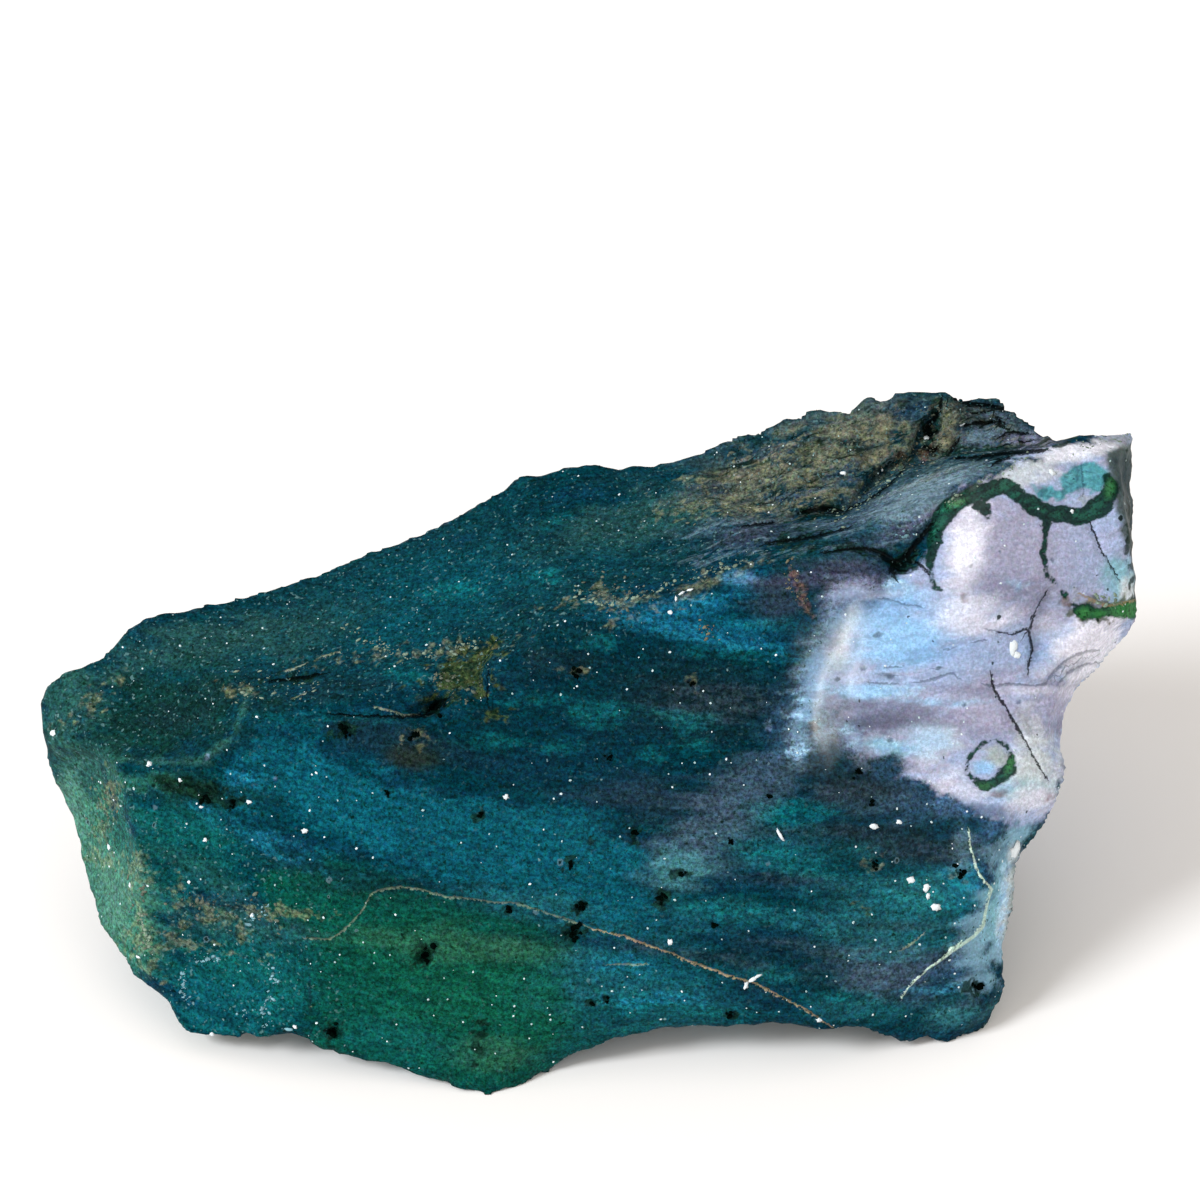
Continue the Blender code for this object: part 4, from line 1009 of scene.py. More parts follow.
def mark_surface(surface, looks):
    """Writes the colours and fields that the material reads its markings from."""
    surface.look_at_sheet()
    seen = surface.seen
    surface.write_vector("flow", surface.flow)
    surface.write_colour("ground", ground_colours(surface, looks))
    for number, (name, length, height, ragged, _, _, hidden) in enumerate(LAYERS):
        wander = surface.fibres(length, height, 10 + number)
        behind = (wander - hidden) * 1.5 if hidden else -FIELD_LIMIT
        surface.write_field(name, patch_field(seen, PATCHES[name]) + ragged * wander, behind)
    dusty = eased(patch_field(seen, DUSTY) / 3.0 + 0.2)
    dust = dusty * surface.faced + HIDDEN_DUST * (1 - surface.faced)
    dust = LEAST_DUST + (1 - LEAST_DUST) * dust
    surface.write("dust", dust * (1 - PALE_CLEAN * surface.pale))
    write_crust(surface)
    surface.write_field("glow", patch_field(seen, GLOWING))
    vein = stroke_field(seen, VEINS) + VEIN_WANDER * surface.waves(1.3, seed=30)
    # A hidden vein runs where a broad noise passes through nought, and only on the pale end.
    hidden_vein = 0.3 - 8.0 * np.abs(surface.fibres(14, 9, seed=21)) - FIELD_LIMIT * (1 - surface.pale)
    surface.write_field("vein", vein, hidden_vein)
    write_lines(surface)
    surface.write("polish", eased(patch_field(seen, POLISHED) / 2.6) * surface.faced)
    pits = np.max([radius - disc_reach(seen, x, y) for x, y, radius, _ in PITS], axis=0)
    surface.write_field("pit", pits * STEP, -FIELD_LIMIT)


# -------- node helpers


class Maker:
    """Adds nodes to one tree. An input is given a number, a colour or another node's output."""

    def __init__(self, tree):
        self.tree = tree

    def add(self, kind, inputs=None, **settings):
        node = self.tree.nodes.new(kind)
        for key, value in settings.items():
            setattr(node, key, value)
        for key, value in (inputs or {}).items():
            if isinstance(value, bpy.types.NodeSocket):
                self.link(value, node.inputs[key])
            else:
                node.inputs[key].default_value = value
        return node

    def link(self, value, socket):
        self.tree.links.new(value, socket)

    def math(self, operation, *values):
        return self.add("ShaderNodeMath", dict(enumerate(values)), operation=operation).outputs[0]

    def times(self, *values):
        return self.math("MULTIPLY", *values)

    def plus(self, *values):
        return self.math("ADD", *values)

    def vector_math(self, operation, inputs):
        return self.add("ShaderNodeVectorMath", inputs, operation=operation).outputs[0]

    def vector(self, *values):
        return self.add("ShaderNodeCombineXYZ", dict(enumerate(values))).outputs[0]

    def blend(self, share, under, over, way="MIX"):
        inputs = {0: share, 6: under, 7: over}
        return self.add("ShaderNodeMix", inputs, data_type="RGBA", blend_type=way).outputs[2]

    def ramp(self, value, low, high, to_low=0.0, to_high=1.0):
        """Value, taken smoothly from the range low to high into the range to_low to to_high."""
        inputs = {"Value": value, "From Min": low, "From Max": high, "To Min": to_low, "To Max": to_high}
        return self.add("ShaderNodeMapRange", inputs, interpolation_type="SMOOTHSTEP").outputs[0]

    def wave(self, place, scale, detail, roughness, fray=0.0):
        inputs = {"Vector": place, "Scale": scale, "Detail": detail, "Roughness": roughness,
                  "Distortion": fray}
        return self.add("ShaderNodeTexNoise", inputs).outputs

    def field(self, name, output="Fac"):
        return self.add("ShaderNodeAttribute", attribute_name=name).outputs[output]

    def place(self):
        """Where a point lies on its piece, in millimetres."""
        found = self.add("ShaderNodeTexCoord").outputs["Object"]
        return self.vector_math("SCALE", {0: found, "Scale": 1 / MM})

    def group(self, name, inputs):
        """The outputs of one of the shared groups."""
        return self.add("ShaderNodeGroup", inputs, node_tree=bpy.data.node_groups[name]).outputs


def opened(tree, inputs, outputs):
    """Gives a group its sockets: inputs of (name, socket kind, default), outputs of (name, kind)."""
    for label, kind, default in inputs:
        socket = tree.interface.new_socket(label, in_out="INPUT", socket_type="NodeSocket" + kind)
        if default is not None:
            socket.default_value = default
    for label, kind in outputs:
        tree.interface.new_socket(label, in_out="OUTPUT", socket_type="NodeSocket" + kind)
    given = tree.nodes.new("NodeGroupInput").outputs
    return Maker(tree), given, tree.nodes.new("NodeGroupOutput").inputs


def shader_group(name, inputs, outputs):
    return opened(bpy.data.node_groups.new(name, "ShaderNodeTree"), inputs, outputs)


def streaks_group():
    """Fibrous noise, drawn out along the flow of the stone. All its sizes are in millimetres."""
    inputs = [("Flow", "Vector", None), ("Length", "Float", 8.0), ("Height", "Float", 2.0),
              ("Fray", "Float", 0.5), ("Seed", "Float", 0.0)]
    maker, given, out = shader_group("Streaks", inputs, [("Value", "Float")])
    along = maker.math("DIVIDE", 1.0, given["Length"])
    across = maker.math("DIVIDE", 1.0, given["Height"])
    offset = maker.vector(*(maker.times(given["Seed"], far) for far in (7.3, 4.7, 2.1)))
    inputs = {0: given["Flow"], 1: maker.vector(along, across, across), 2: offset}
    place = maker.vector_math("MULTIPLY_ADD", inputs)
    wave = maker.wave(place, scale=1.0, detail=3.0, roughness=0.64, fray=given["Fray"])
    maker.link(wave[0], out["Value"])


def patch_group():
    """A drawn patch whose edge is frayed by a fine noise."""
    inputs = [("Field", "Float", 0.0), ("Noise", "Float", 0.5), ("Fray", "Float", 0.8),
              ("Soft", "Float", 0.2), ("Strength", "Float", 1.0)]
    maker, given, out = shader_group("Patch", inputs, [("Mask", "Float")])
    fray = maker.times(maker.math("SUBTRACT", given["Noise"], 0.5), given["Fray"])
    field = maker.plus(given["Field"], fray)
    mask = maker.ramp(field, maker.times(given["Soft"], -1.0), given["Soft"])
    maker.link(maker.times(mask, given["Strength"]), out["Mask"])


def hair_line_group():
    """A drawn line that thins and thickens with a noise."""
    inputs = [("Gap", "Float", 0.0), ("Noise", "Float", 0.5), ("Half width", "Float", 0.1),
              ("Wander", "Float", 0.1)]
    maker, given, out = shader_group("Hair line", inputs, [("Mask", "Float")])
    shift = maker.times(maker.math("SUBTRACT", given["Noise"], 0.5), given["Wander"])
    gap = maker.math("ABSOLUTE", maker.plus(given["Gap"], shift))
    width = maker.times(given["Half width"], maker.ramp(given["Noise"], 0.3, 0.65, 0.4, 1.5))
    mask = maker.ramp(gap, maker.plus(width, 0.05), maker.times(width, 0.5))
    there = maker.ramp(given["Half width"], 0.01, 0.05)
    maker.link(maker.times(mask, there), out["Mask"])


def specks_group():
    """Scattered specks: some of the cells of an even scatter hold one, of a size of its own."""
    inputs = [("Place", "Vector", None), ("Spacing", "Float", 1.0), ("Share", "Float", 0.3),
              ("Radius", "Float", 0.1)]
    maker, given, out = shader_group("Specks", inputs, [("Mask", "Float"), ("Rim", "Float")])
    inverse = maker.math("DIVIDE", 1.0, given["Spacing"])
    inputs = {"Vector": given["Place"], "Scale": inverse}
    cells = maker.add("ShaderNodeTexVoronoi", inputs, feature="F1").outputs
    chance = maker.add("ShaderNodeSeparateColor", {0: cells["Color"]}).outputs
    size = maker.times(given["Radius"], maker.ramp(chance[1], 0.0, 1.0, 0.4, 1.2))
    gap = maker.times(cells["Distance"], given["Spacing"])
    held = maker.math("LESS_THAN", chance[0], given["Share"])
    for name, reach in (("Mask", 1.0), ("Rim", 1.5)):
        dot = maker.ramp(gap, maker.times(size, reach), maker.times(size, reach - 0.3))
        maker.link(maker.times(dot, held), out[name])


def grain_group():
    """The fine, sugary grain of a broken chalcedony face, as a value about a half."""
    inputs = [("Place", "Vector", None), ("Size", "Float", 0.25)]
    maker, given, out = shader_group("Fine grain", inputs, [("Value", "Float")])
    inverse = maker.math("DIVIDE", 1.0, given["Size"])
    wave = maker.wave(given["Place"], scale=inverse, detail=3.0, roughness=0.75)
    maker.link(wave[0], out["Value"])


# -------- materials

# Streaks along the crust's slant: (region, where on the noise a streak starts, where it is full, pigment,
# strength).
SLANTED = [
    ("crust", 0.52, 0.66, "tan_pale", 0.50), ("crust", 0.46, 0.34, "moss", 0.85),
    ("slaty", 0.50, 0.66, "slate_pale", 0.28), ("slaty", 0.48, 0.34, "night", 0.42),
]
# Dust: (channel of the fine wobble, where on it a dot starts, where it is full, pigment, strength, whether
# it lies mostly on the dusty sides).
DUST = [
    (0, 0.64, 0.76, "dust", 0.70, True), (1, 0.66, 0.74, "moss", 0.70, False),
    (2, 0.68, 0.78, "teal_pale", 0.40, True),
]
# Specks in the stone: (spacing in millimetres, share of places that hold one, radius in millimetres,
# pigment, strength, pigment of the rim around each or None, whether they lie mostly on the dusty sides).
SPECKS = [
    (0.70, 0.20, 0.10, "quartz", 0.42, None, True), (1.1, 0.20, 0.14, "moss", 0.85, None, False),
    (2.3, 0.11, 0.24, "moss", 0.92, "slate_pale", False),
    (1.9, 0.14, 0.15, "ochre_pale", 0.40, None, True),
]
SPECK_SHIFT = (0.42, 0.42, 0.42)  # millimetres: how far the wobble moves a speck off its place


class JasperMaker(Maker):
    """Lays the jasper's colours one over another, from the fields that are written on its surface."""

    def __init__(self, tree, looks):
        super().__init__(tree)
        self.looks = looks
        self.spot = self.place()
        flow, slant = self.field("flow", "Vector"), self.field("slant", "Vector")
        self.fine = self.fibres(flow, length=2.6, height=0.55, fray=0.6, seed=2.0)
        self.ragged = self.fibres(flow, length=1.0, height=0.7, fray=0.8, seed=41.0)
        self.slanted = self.fibres(slant, length=3.2, height=0.8, fray=1.0, seed=5.0)
        self.grit = self.group("Fine grain", {"Place": self.spot, "Size": 0.30})[0]
        self.frayed = self.plus(self.times(self.ragged, 0.5), self.times(self.grit, 0.5))
        self.wobble = self.wave(self.spot, scale=2.6, detail=1.0, roughness=0.5)["Color"]
        self.crust = self.ramp(self.field("crust"), -1.0, 2.0)
        self.pale = self.field("pale")
        self.calm = self.field("calm")

    def fibres(self, flow, length, height, fray, seed):
        sizes = {"Flow": flow, "Length": length, "Height": height, "Fray": fray, "Seed": seed}
        return self.group("Streaks", sizes)[0]

    def colour(self, name):
        return tuple(getattr(self.looks, name)) + (1.0,)

    def laid(self, body, share, name):
        """The body colour with a share of one pigment over it."""
        return self.blend(share, body, self.colour(name))

    def with_patches(self, body):
        """Frayed patches of pigment, each clouded with its own paler shade."""
        clouds = self.ramp(self.ragged, 0.35, 0.62)
        for name, length, _, frays, soft, strength, _ in LAYERS:
            fray = self.ragged if length < 2.0 else self.fine
            inputs = {"Field": self.field(name), "Noise": fray, "Fray": frays, "Soft": soft,
                      "Strength": strength}
            varied = self.laid(self.colour(name), clouds, name + "_pale")
            body = self.blend(self.group("Patch", inputs)[0], body, varied)
        return body

    def with_streaks(self, body):
        """The crust and the slaty slope beside it, streaked along the crust's slant."""
        regions = {"crust": self.crust, "slaty": self.field("slaty")}
        for region, low, high, name, strength in SLANTED:
            streak = self.times(self.ramp(self.slanted, low, high), regions[region])
            body = self.laid(body, self.times(streak, strength), name)
        return body

    def with_veins(self, body):
        """Veins, near black at the rim, clouded with paler green, and bright green in places."""
        depth = self.field("vein")
        inputs = {"Field": depth, "Noise": self.frayed, "Fray": 1.0, "Soft": 0.12, "Strength": 0.97}
        heart = self.plus(self.times(depth, 0.35), self.times(self.slanted, 1.2))
        green = self.laid(self.colour("vein"), self.ramp(heart, 0.66, 0.95), "vein_pale")
        green = self.laid(green, self.ramp(self.field("glow"), -0.2, 0.5, 0.0, 0.8), "vein_bright")
        green = self.laid(green, self.times(self.ramp(self.grit, 0.48, 0.36), 0.8), "moss")
        return self.blend(self.group("Patch", inputs)[0], body, green)

    def with_lines(self, body):
        """Cracks, folds and hair lines."""
        for line, name, _, wander, strength, _ in LINES:
            inputs = {"Gap": self.field(line), "Half width": self.field(line + " width"),
                      "Noise": self.frayed, "Wander": wander}
            mask = self.group("Hair line", inputs)[0]
            body = self.laid(body, self.times(mask, strength), name)
        return body

    def with_tone(self, body):
        """The fibres' tone and the sugary grain, both weaker where the stone is pale."""
        tone = self.times(self.ramp(self.grit, 0.32, 0.68, 0.44, 1.58),
                          self.ramp(self.fine, 0.30, 0.70, 0.74, 1.28))
        tone = self.times(tone, self.ramp(self.ragged, 0.30, 0.70, 0.72, 1.30))
        calmed = {0: self.times(self.calm, 0.66), 2: tone, 3: 1.0}
        tone = self.add("ShaderNodeMix", calmed).outputs[0]
        grey = self.add("ShaderNodeCombineColor", {0: tone, 1: tone, 2: tone}).outputs[0]
        body = self.blend(1.0, body, grey, "MULTIPLY")
        return self.blend(self.ramp(self.calm, 0.0, 1.0, 0.38, 0.20), body, self.wobble, "SOFT_LIGHT")

    def with_dust(self, body):
        """Dust and dark dots, then specks of quartz, crumbs of ochre and dark spots."""
        dusty = self.field("dust")
        even = self.ramp(self.pale, 0.0, 1.0, 1.0, 0.10)
        sparks = self.add("ShaderNodeSeparateColor", {0: self.wobble}).outputs
        for channel, low, high, name, strength, by_dust in DUST:
            share = self.times(dusty if by_dust else even, strength)
            body = self.laid(body, self.times(self.ramp(sparks[channel], low, high), share), name)
        shaken = self.vector_math("MULTIPLY_ADD", {0: self.wobble, 1: SPECK_SHIFT, 2: self.spot})
        for spacing, share, radius, name, strength, rim, by_dust in SPECKS:
            held = self.times(dusty, share) if by_dust else share
            inputs = {"Place": shaken, "Spacing": spacing, "Share": held, "Radius": radius}
            dots = self.group("Specks", inputs)
            if rim:
                body = self.laid(body, self.times(dots["Rim"], 0.30), rim)
            body = self.laid(body, self.times(dots["Mask"], strength), name)
        return body

    def with_pits(self, body):
        """The open pits, darkened towards their middle."""
        ragged = self.times(self.math("SUBTRACT", self.ragged, 0.5), 1.6)
        inside = self.plus(self.field("pit"), ragged)
        return self.laid(body, self.ramp(inside, 0.05, 0.30, 0.0, 0.55), "moss")


def blank_material(name):
    """A new material, and its emptied tree."""
    material = bpy.data.materials.new(name)
    material.use_nodes = True
    material.node_tree.nodes.clear()
    return material, material.node_tree


def jasper_material(looks):
    """Banded jasper: washes of colour, frayed patches, green-black veins, cracks, specks and grain."""
    material, tree = blank_material("Jasper, broken face")
    maker = JasperMaker(tree, looks)
    body = maker.field("ground", "Color")
    for step in (maker.with_patches, maker.with_streaks, maker.with_veins, maker.with_lines,
                 maker.with_tone, maker.with_dust, maker.with_pits):
        body = step(body)
    rough = maker.ramp(maker.fine, 0.3, 0.7, looks.roughness - 0.06, looks.roughness + 0.08)
    rough = maker.plus(rough, maker.times(maker.crust, 0.3))
    relief = {"Height": maker.times(maker.grit, 0.06), "Distance": MM,
              "Strength": maker.ramp(maker.pale, 0.0, 1.0, 0.5, 0.22)}
    bump = maker.add("ShaderNodeBump", relief).outputs[0]
    face = {"Base Color": body, "Roughness": rough, "Normal": bump, "Specular IOR Level": 0.02,
            "Coat Weight": maker.field("polish"), "Coat Roughness": 0.27}
    shader = maker.add("ShaderNodeBsdfPrincipled", face)
    maker.add("ShaderNodeOutputMaterial", {"Surface": shader.outputs[0]})
    return material


def grain_material(name, colour, pale, roughness, gloss=0.3):
    """Small grains, each of its own shade."""
    material, tree = blank_material(name)
    maker = Maker(tree)
    grit = maker.group("Fine grain", {"Place": maker.place(), "Size": 0.6})[0]
    shade = maker.ramp(grit, 0.35, 0.65)
    body = maker.blend(shade, tuple(colour) + (1.0,), tuple(pale) + (1.0,))
    face = {"Base Color": body, "Roughness": roughness, "Specular IOR Level": gloss}
    shader = maker.add("ShaderNodeBsdfPrincipled", face)
    maker.add("ShaderNodeOutputMaterial", {"Surface": shader.outputs[0]})
    return material


def plain_material(name, colour, roughness):
    material = bpy.data.materials.new(name)
    material.use_nodes = True
    shader = material.node_tree.nodes["Principled BSDF"]
    shader.inputs["Base Color"].default_value = tuple(colour) + (1.0,)
    shader.inputs["Roughness"].default_value = roughness
    return material


# -------- scattered grains


def scatter_tree():
    """Strews flattened little stones over a surface, more of them where the density field is high."""
    tree = bpy.data.node_groups.new("Strewn grains", "GeometryNodeTree")
    tree.is_modifier = True
    inputs = [("Geometry", "Geometry", None), ("Per square metre", "Float", 1e5),
              ("Smallest", "Float", 0.0001), ("Largest", "Float", 0.0002), ("Flatness", "Float", 0.5),
              ("Seed", "Int", 1), ("Material", "Material", None)]
    maker, given, out = opened(tree, inputs, [("Geometry", "Geometry")])

    def chance(low, high, seed):
        limits = {2: low, 3: high, "Seed": seed}
        return maker.add("FunctionNodeRandomValue", limits, data_type="FLOAT").outputs[1]

    strewn = maker.add("GeometryNodeInputNamedAttribute", {"Name": "strewn"}, data_type="FLOAT")
    density = maker.times(given["Per square metre"], strewn.outputs[0])
    inputs = {"Mesh": given["Geometry"], "Density": density, "Seed": given["Seed"]}
    points = maker.add("GeometryNodeDistributePointsOnFaces", inputs, distribute_method="RANDOM").outputs
    ball = maker.add("GeometryNodeMeshIcoSphere", {"Radius": 1.0, "Subdivisions": 1}).outputs["Mesh"]
    size = chance(given["Smallest"], given["Largest"], seed=11)
    length = maker.times(size, chance(0.7, 1.5, seed=12))
    shape = maker.vector(length, size, maker.times(size, given["Flatness"]))
    spin = maker.add("ShaderNodeCombineXYZ", {2: chance(0.0, 2 * math.pi, seed=13)}).outputs[0]
    about = maker.add("FunctionNodeEulerToRotation", {0: spin}).outputs[0]
    inputs = {0: points["Rotation"], 1: about}
    turned = maker.add("FunctionNodeRotateRotation", inputs, rotation_space="LOCAL").outputs[0]
    inputs = {"Points": points["Points"], "Instance": ball, "Rotation": turned, "Scale": shape}
    grains = maker.add("GeometryNodeInstanceOnPoints", inputs).outputs[0]
    real = maker.add("GeometryNodeRealizeInstances", {0: grains}).outputs[0]
    inputs = {"Geometry": real, "Material": given["Material"]}
    maker.link(maker.add("GeometryNodeSetMaterial", inputs).outputs[0], out[0])
    return tree


def strewn_piece(name, stone, density, inputs):
    """A piece of grains over the stone. Density is the share of the full number at each point."""
    data = stone.data.copy()
    data.materials.clear()
    attribute = data.attributes.new("strewn", "FLOAT", "POINT")
    attribute.data.foreach_set("value", np.asarray(density, dtype=np.float32))
    piece = linked(name, data)
    tree = bpy.data.node_groups.get("Strewn grains") or scatter_tree()
    modifier = piece.modifiers.new("Strewn grains", "NODES")
    modifier.node_group = tree
    sockets = {item.name: item.identifier for item in tree.interface.items_tree if item.in_out == "INPUT"}
    for label, value in inputs.items():
        modifier[sockets[label]] = value
    baked(piece)
    bpy.data.meshes.remove(data)
    return piece


def landing(x, y):
    """Whether a place on the sheet is on the stone, where on it, and how the stone faces there."""
    eye = Vector((SHEET_MIDDLE + EYE_DISTANCE * TO_EYE) * MM)
    on_sheet = SHEET_MIDDLE + STEP * ((x - SHEET_STEPS / 2) * ACROSS + (SHEET_STEPS / 2 - y) * UP)
    return bpy.data.objects["stone"].ray_cast(eye, (Vector(on_sheet * MM) - eye).normalized())[:3]


def chips_piece(name, places, thickness, rounds, material):
    """A piece of flat chips on the broad side.

    Each is (across, down, half length, half height, tilt), in steps. Half the thickness is in millimetres.
    """
    chips = bmesh.new()
    for x, y, length, height, tilt in places:
        found, place, normal = landing(x, y)
        if not found:
            raise RuntimeError(f"the chip at {x}, {y} misses the stone")
        side = Vector(ACROSS) - normal * normal.x
        turned = Matrix.Rotation(math.radians(-tilt), 3, normal) @ side.normalized()
        way = Matrix((turned, normal.cross(turned), normal)).transposed().to_4x4()
        size = Matrix.Diagonal((length * STEP * MM, height * STEP * MM, thickness * MM, 1.0))
        made = bmesh.ops.create_icosphere(chips, subdivisions=rounds, radius=1.0)["verts"]
        for vertex in made:
            lump = 1 + 0.8 * noise.noise(vertex.co * 1.7 + Vector((x, y, 0)))
            vertex.co = Matrix.Translation(place) @ way @ size @ (vertex.co * lump)
    data = bpy.data.meshes.new(name)
    chips.to_mesh(data)
    chips.free()
    data.shade_smooth()
    data.materials.append(material)
    return linked(name, data)


def strewn_chips(count, spread, line, chance):
    """Chips strewn along a line on the sheet, most of them near it and most of them small."""
    pieces = list(segments(line))
    lengths = np.array([np.linalg.norm(end - start) for start, end in pieces])
    chips = []
    for _ in range(count):
        start, end = pieces[chance.choice(len(pieces), p=lengths / lengths.sum())]
        x, y = start + (end - start) * chance.uniform() + chance.normal(0, spread, 2)
        size = 0.5 + 1.5 * chance.uniform() ** 3
        if landing(x, y)[0]:
            chips.append((x, y, size * chance.uniform(1.0, 2.4), size, chance.normal(-10, 35)))
    return chips


def field_values(data, name):
    values = np.empty(len(data.vertices), dtype=np.float32)
    data.attributes[name].data.foreach_get("value", values)
    return values


def declare(piece, stone=False):
    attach(piece, "root")
    if stone:
        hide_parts(NODE)


# -------- settings


def pigment(name, description, red, green, blue):
    return bpy.props.FloatVectorProperty(name=name, description=description, subtype="COLOR", size=3,
                                         min=0, max=1, default=srgb(red, green, blue))


class JasperLooks(bpy.types.PropertyGroup):
    """Sizes and colours of the stone."""

    cell: bpy.props.FloatProperty(
        name="Fine cell", description="Spacing of the fine surface", default=CELL * MM, min=0.0003,
        unit="LENGTH", precision=5)
    roughness: bpy.props.FloatProperty(
        name="Roughness", description="Roughness of a fresh break", default=0.38, min=0, max=1,
        subtype="FACTOR")
    speck_count: bpy.props.FloatProperty(
        name="Specks", description="Quartz specks in each square metre of surface", default=1e5, min=0)
    speck_size: bpy.props.FloatProperty(
        name="Speck size", description="Radius of the largest quartz speck", default=0.00012, min=0,
        unit="LENGTH", precision=5)
    grain_count: bpy.props.FloatProperty(
        name="Crust grains", description="Grains in each square metre of crust", default=6e5, min=0)
    grain_size: bpy.props.FloatProperty(
        name="Grain size", description="Radius of the largest crust grain", default=0.00016, min=0,
        unit="LENGTH", precision=5)
    deep: pigment("Deep teal", "Ground colour between the fibres", 0, 50, 60)
    navy: pigment("Navy", "Ground colour of the long fibres", 6, 50, 68)
    deep_green: pigment("Deep green", "Dark green washes", 12, 50, 47)
    sea: pigment("Sea", "Blue-green washes", 24, 88, 98)
    sea_green: pigment("Sea green", "Green-blue washes", 10, 80, 80)
    pale_sea: pigment("Pale sea", "The pale spot low on the broad face", 62, 128, 134)
    slope: pigment("Slope", "The upper slope", 10, 53, 61)
    slope_teal: pigment("Slope teal", "Teal washes on the upper slope", 5, 64, 76)
    # Partly dust and partly painted sheen on the upper slope.
    slope_dust_and_sheen: pigment("Slope dust", "Dusty washes on the upper slope", 32, 72, 72)
    haze_green: pigment("Green haze", "Hazy washes at the narrow end", 38, 82, 76)
    leaf: pigment("Leaf", "Light washes at the narrow end", 44, 108, 90)
    haze_leaf: pigment("Pale leaf", "The lightest wash of the narrow end", 98, 148, 128)
    green_dust: pigment("Dusty green", "Brownish and dusty washes in the green zone", 46, 96, 74)
    blue: pigment("Blue zone", "The broad blue zone", 8, 79, 94)
    green: pigment("Green zone", "The broad green zone", 6, 72, 60)
    green_bright: pigment("Bright green", "Light washes in the green zone", 14, 84, 62)
    night: pigment("Night", "The dark zones", 0, 40, 51)
    slate: pigment("Slate", "Grey haze", 66, 86, 104)
    slate_pale: pigment("Slate, pale", "Light grey haze", 126, 154, 168)
    slate_blue: pigment("Slate blue", "Blue haze", 52, 84, 116)
    # Painted shade on the facet at the end, which faces away from the light.
    facet_shade: pigment("Slate green", "The dark facet at the end", 74, 90, 88)
    plum: pigment("Plum", "Purple washes", 58, 62, 82)
    umber: pigment("Umber", "Brown washes and patches", 18, 38, 46)
    umber_pale: pigment("Umber, pale", "Fibres of the brown patches", 46, 58, 66)
    teal: pigment("Teal", "Teal dashes", 10, 84, 92)
    teal_pale: pigment("Teal, pale", "Fibres of the teal dashes", 10, 110, 114)
    azure: pigment("Azure", "Bright blue dashes", 12, 88, 118)
    azure_pale: pigment("Azure, pale", "Fibres of the bright blue dashes", 30, 124, 152)
    lavender: pigment("Lavender", "The pale end", 162, 178, 212)
    lilac: pigment("Lilac", "The brightest wash of the pale end", 232, 232, 246)
    mauve: pigment("Mauve", "Bands across the pale end", 166, 164, 188)
    mauve_dark: pigment("Dark mauve", "Dark bands across the pale end", 116, 120, 146)
    sky: pigment("Sky", "Blue washes and patches of the pale end", 148, 196, 238)
    sky_pale: pigment("Sky, pale", "Fibres of the blue patches", 170, 214, 240)
    sky_deep: pigment("Deep sky", "Strong blue washes of the pale end", 120, 164, 212)
    pale_teal: pigment("Pale teal", "Teal washes of the pale end", 134, 190, 204)
    milk: pigment("Milk", "Whitish washes of the pale end", 208, 218, 224)
    haze_pale: pigment("Pale haze", "The rim above the veins", 158, 170, 168)
    turquoise: pigment("Turquoise", "Cells between the veins", 24, 118, 126)
    turquoise_pale: pigment("Turquoise, pale", "Clouds in the cells", 60, 154, 162)
    crust_dark: pigment("Crust", "The weathered strip along the crest", 42, 70, 78)
    tan: pigment("Tan", "Light washes on the crust", 92, 99, 84)
    tan_pale: pigment("Tan, pale", "Crumbs on the crust", 124, 123, 102)
    olive: pigment("Olive", "Mossy scars", 20, 42, 14)
    olive_pale: pigment("Olive, pale", "Grains of the mossy scars", 64, 74, 34)
    ochre: pigment("Ochre", "Stains", 78, 92, 64)
    ochre_pale: pigment("Ochre, pale", "Grains of the stains", 138, 136, 96)
    # Near black spots, and painted shade in the crevices and under the ledges.
    moss: pigment("Moss", "Near black spots and pits", 4, 24, 17)
    moss_pale: pigment("Moss, pale", "Grains of the dark spots", 16, 44, 34)
    rust: pigment("Rust", "Rusty spots", 72, 54, 44)
    rust_pale: pigment("Rust, pale", "Grains of the rusty spots", 112, 82, 68)
    vein: pigment("Vein", "Veins through the pale end", 8, 44, 36)
    vein_bright: pigment("Vein, bright", "The bright green ends of the veins", 56, 128, 66)
    vein_pale: pigment("Vein, pale", "Clouds in the veins", 24, 84, 66)
    # Dark lines of folds and closed cracks, partly painted shade along folds and small edges.
    dark_line_and_fold_shade: pigment("Fold", "Folds and closed cracks", 20, 40, 58)
    # Painted shade in the open cracks, in the crevices and under the crust's ledges.
    crack: pigment("Crack", "Open cracks", 2, 5, 5)
    rust_line: pigment("Rusty line", "Stained hair lines and crumbs", 146, 130, 100)
    cream_line: pigment("Cream line", "Pale hair lines and crumbs", 160, 168, 140)
    crust_blue: pigment("Crust, blue", "Dark plates of the crust", 34, 62, 80)
    sky_mist: pigment("Sky mist", "Soft blue washes at the right edge", 132, 176, 198)
    seam: pigment("Seam", "The pale seam at the right", 196, 222, 206)
    faint_line: pigment("Faint line", "Dull hair lines", 110, 122, 104)
    spot: pigment("Spot", "Blue-grey spots on the pale end", 50, 72, 88)
    spot_pale: pigment("Spot, pale", "Grains of the blue-grey spots", 84, 104, 124)
    dust: pigment("Dust", "Fine pale dots on the dusty sides", 92, 132, 134)
    quartz: pigment("Quartz", "Quartz specks", 150, 188, 190)
    quartz_pale: pigment("Quartz, pale", "Lighter quartz specks", 240, 250, 255)


def current_looks():
    return bpy.context.scene.jasper_looks


# -------- operators


# Half the thickness of the flat chips, in millimetres.
QUARTZ_CHIP, DARK_CHIP, CRUMB = 0.10, 0.26, 0.07
PIT_CHIPS = 7  # dark chips in each pit
SPECK_FLOOR = 0.4  # millimetres: no quartz specks lie lower than this
# Half the table's width and how far it lies under the stone, in metres.
TABLE_REACH, TABLE_GAP = 8.0, 0.00005
TABLE_COLOUR = (0.975, 0.965, 0.95)
KEY_COLOUR = (0.97, 1.0, 1.03)
AIR_COLOUR = (1.0, 0.945, 0.90, 1.0)
AIR_STRENGTH, AIR_IN_GLOSS = 0.76, 0.20


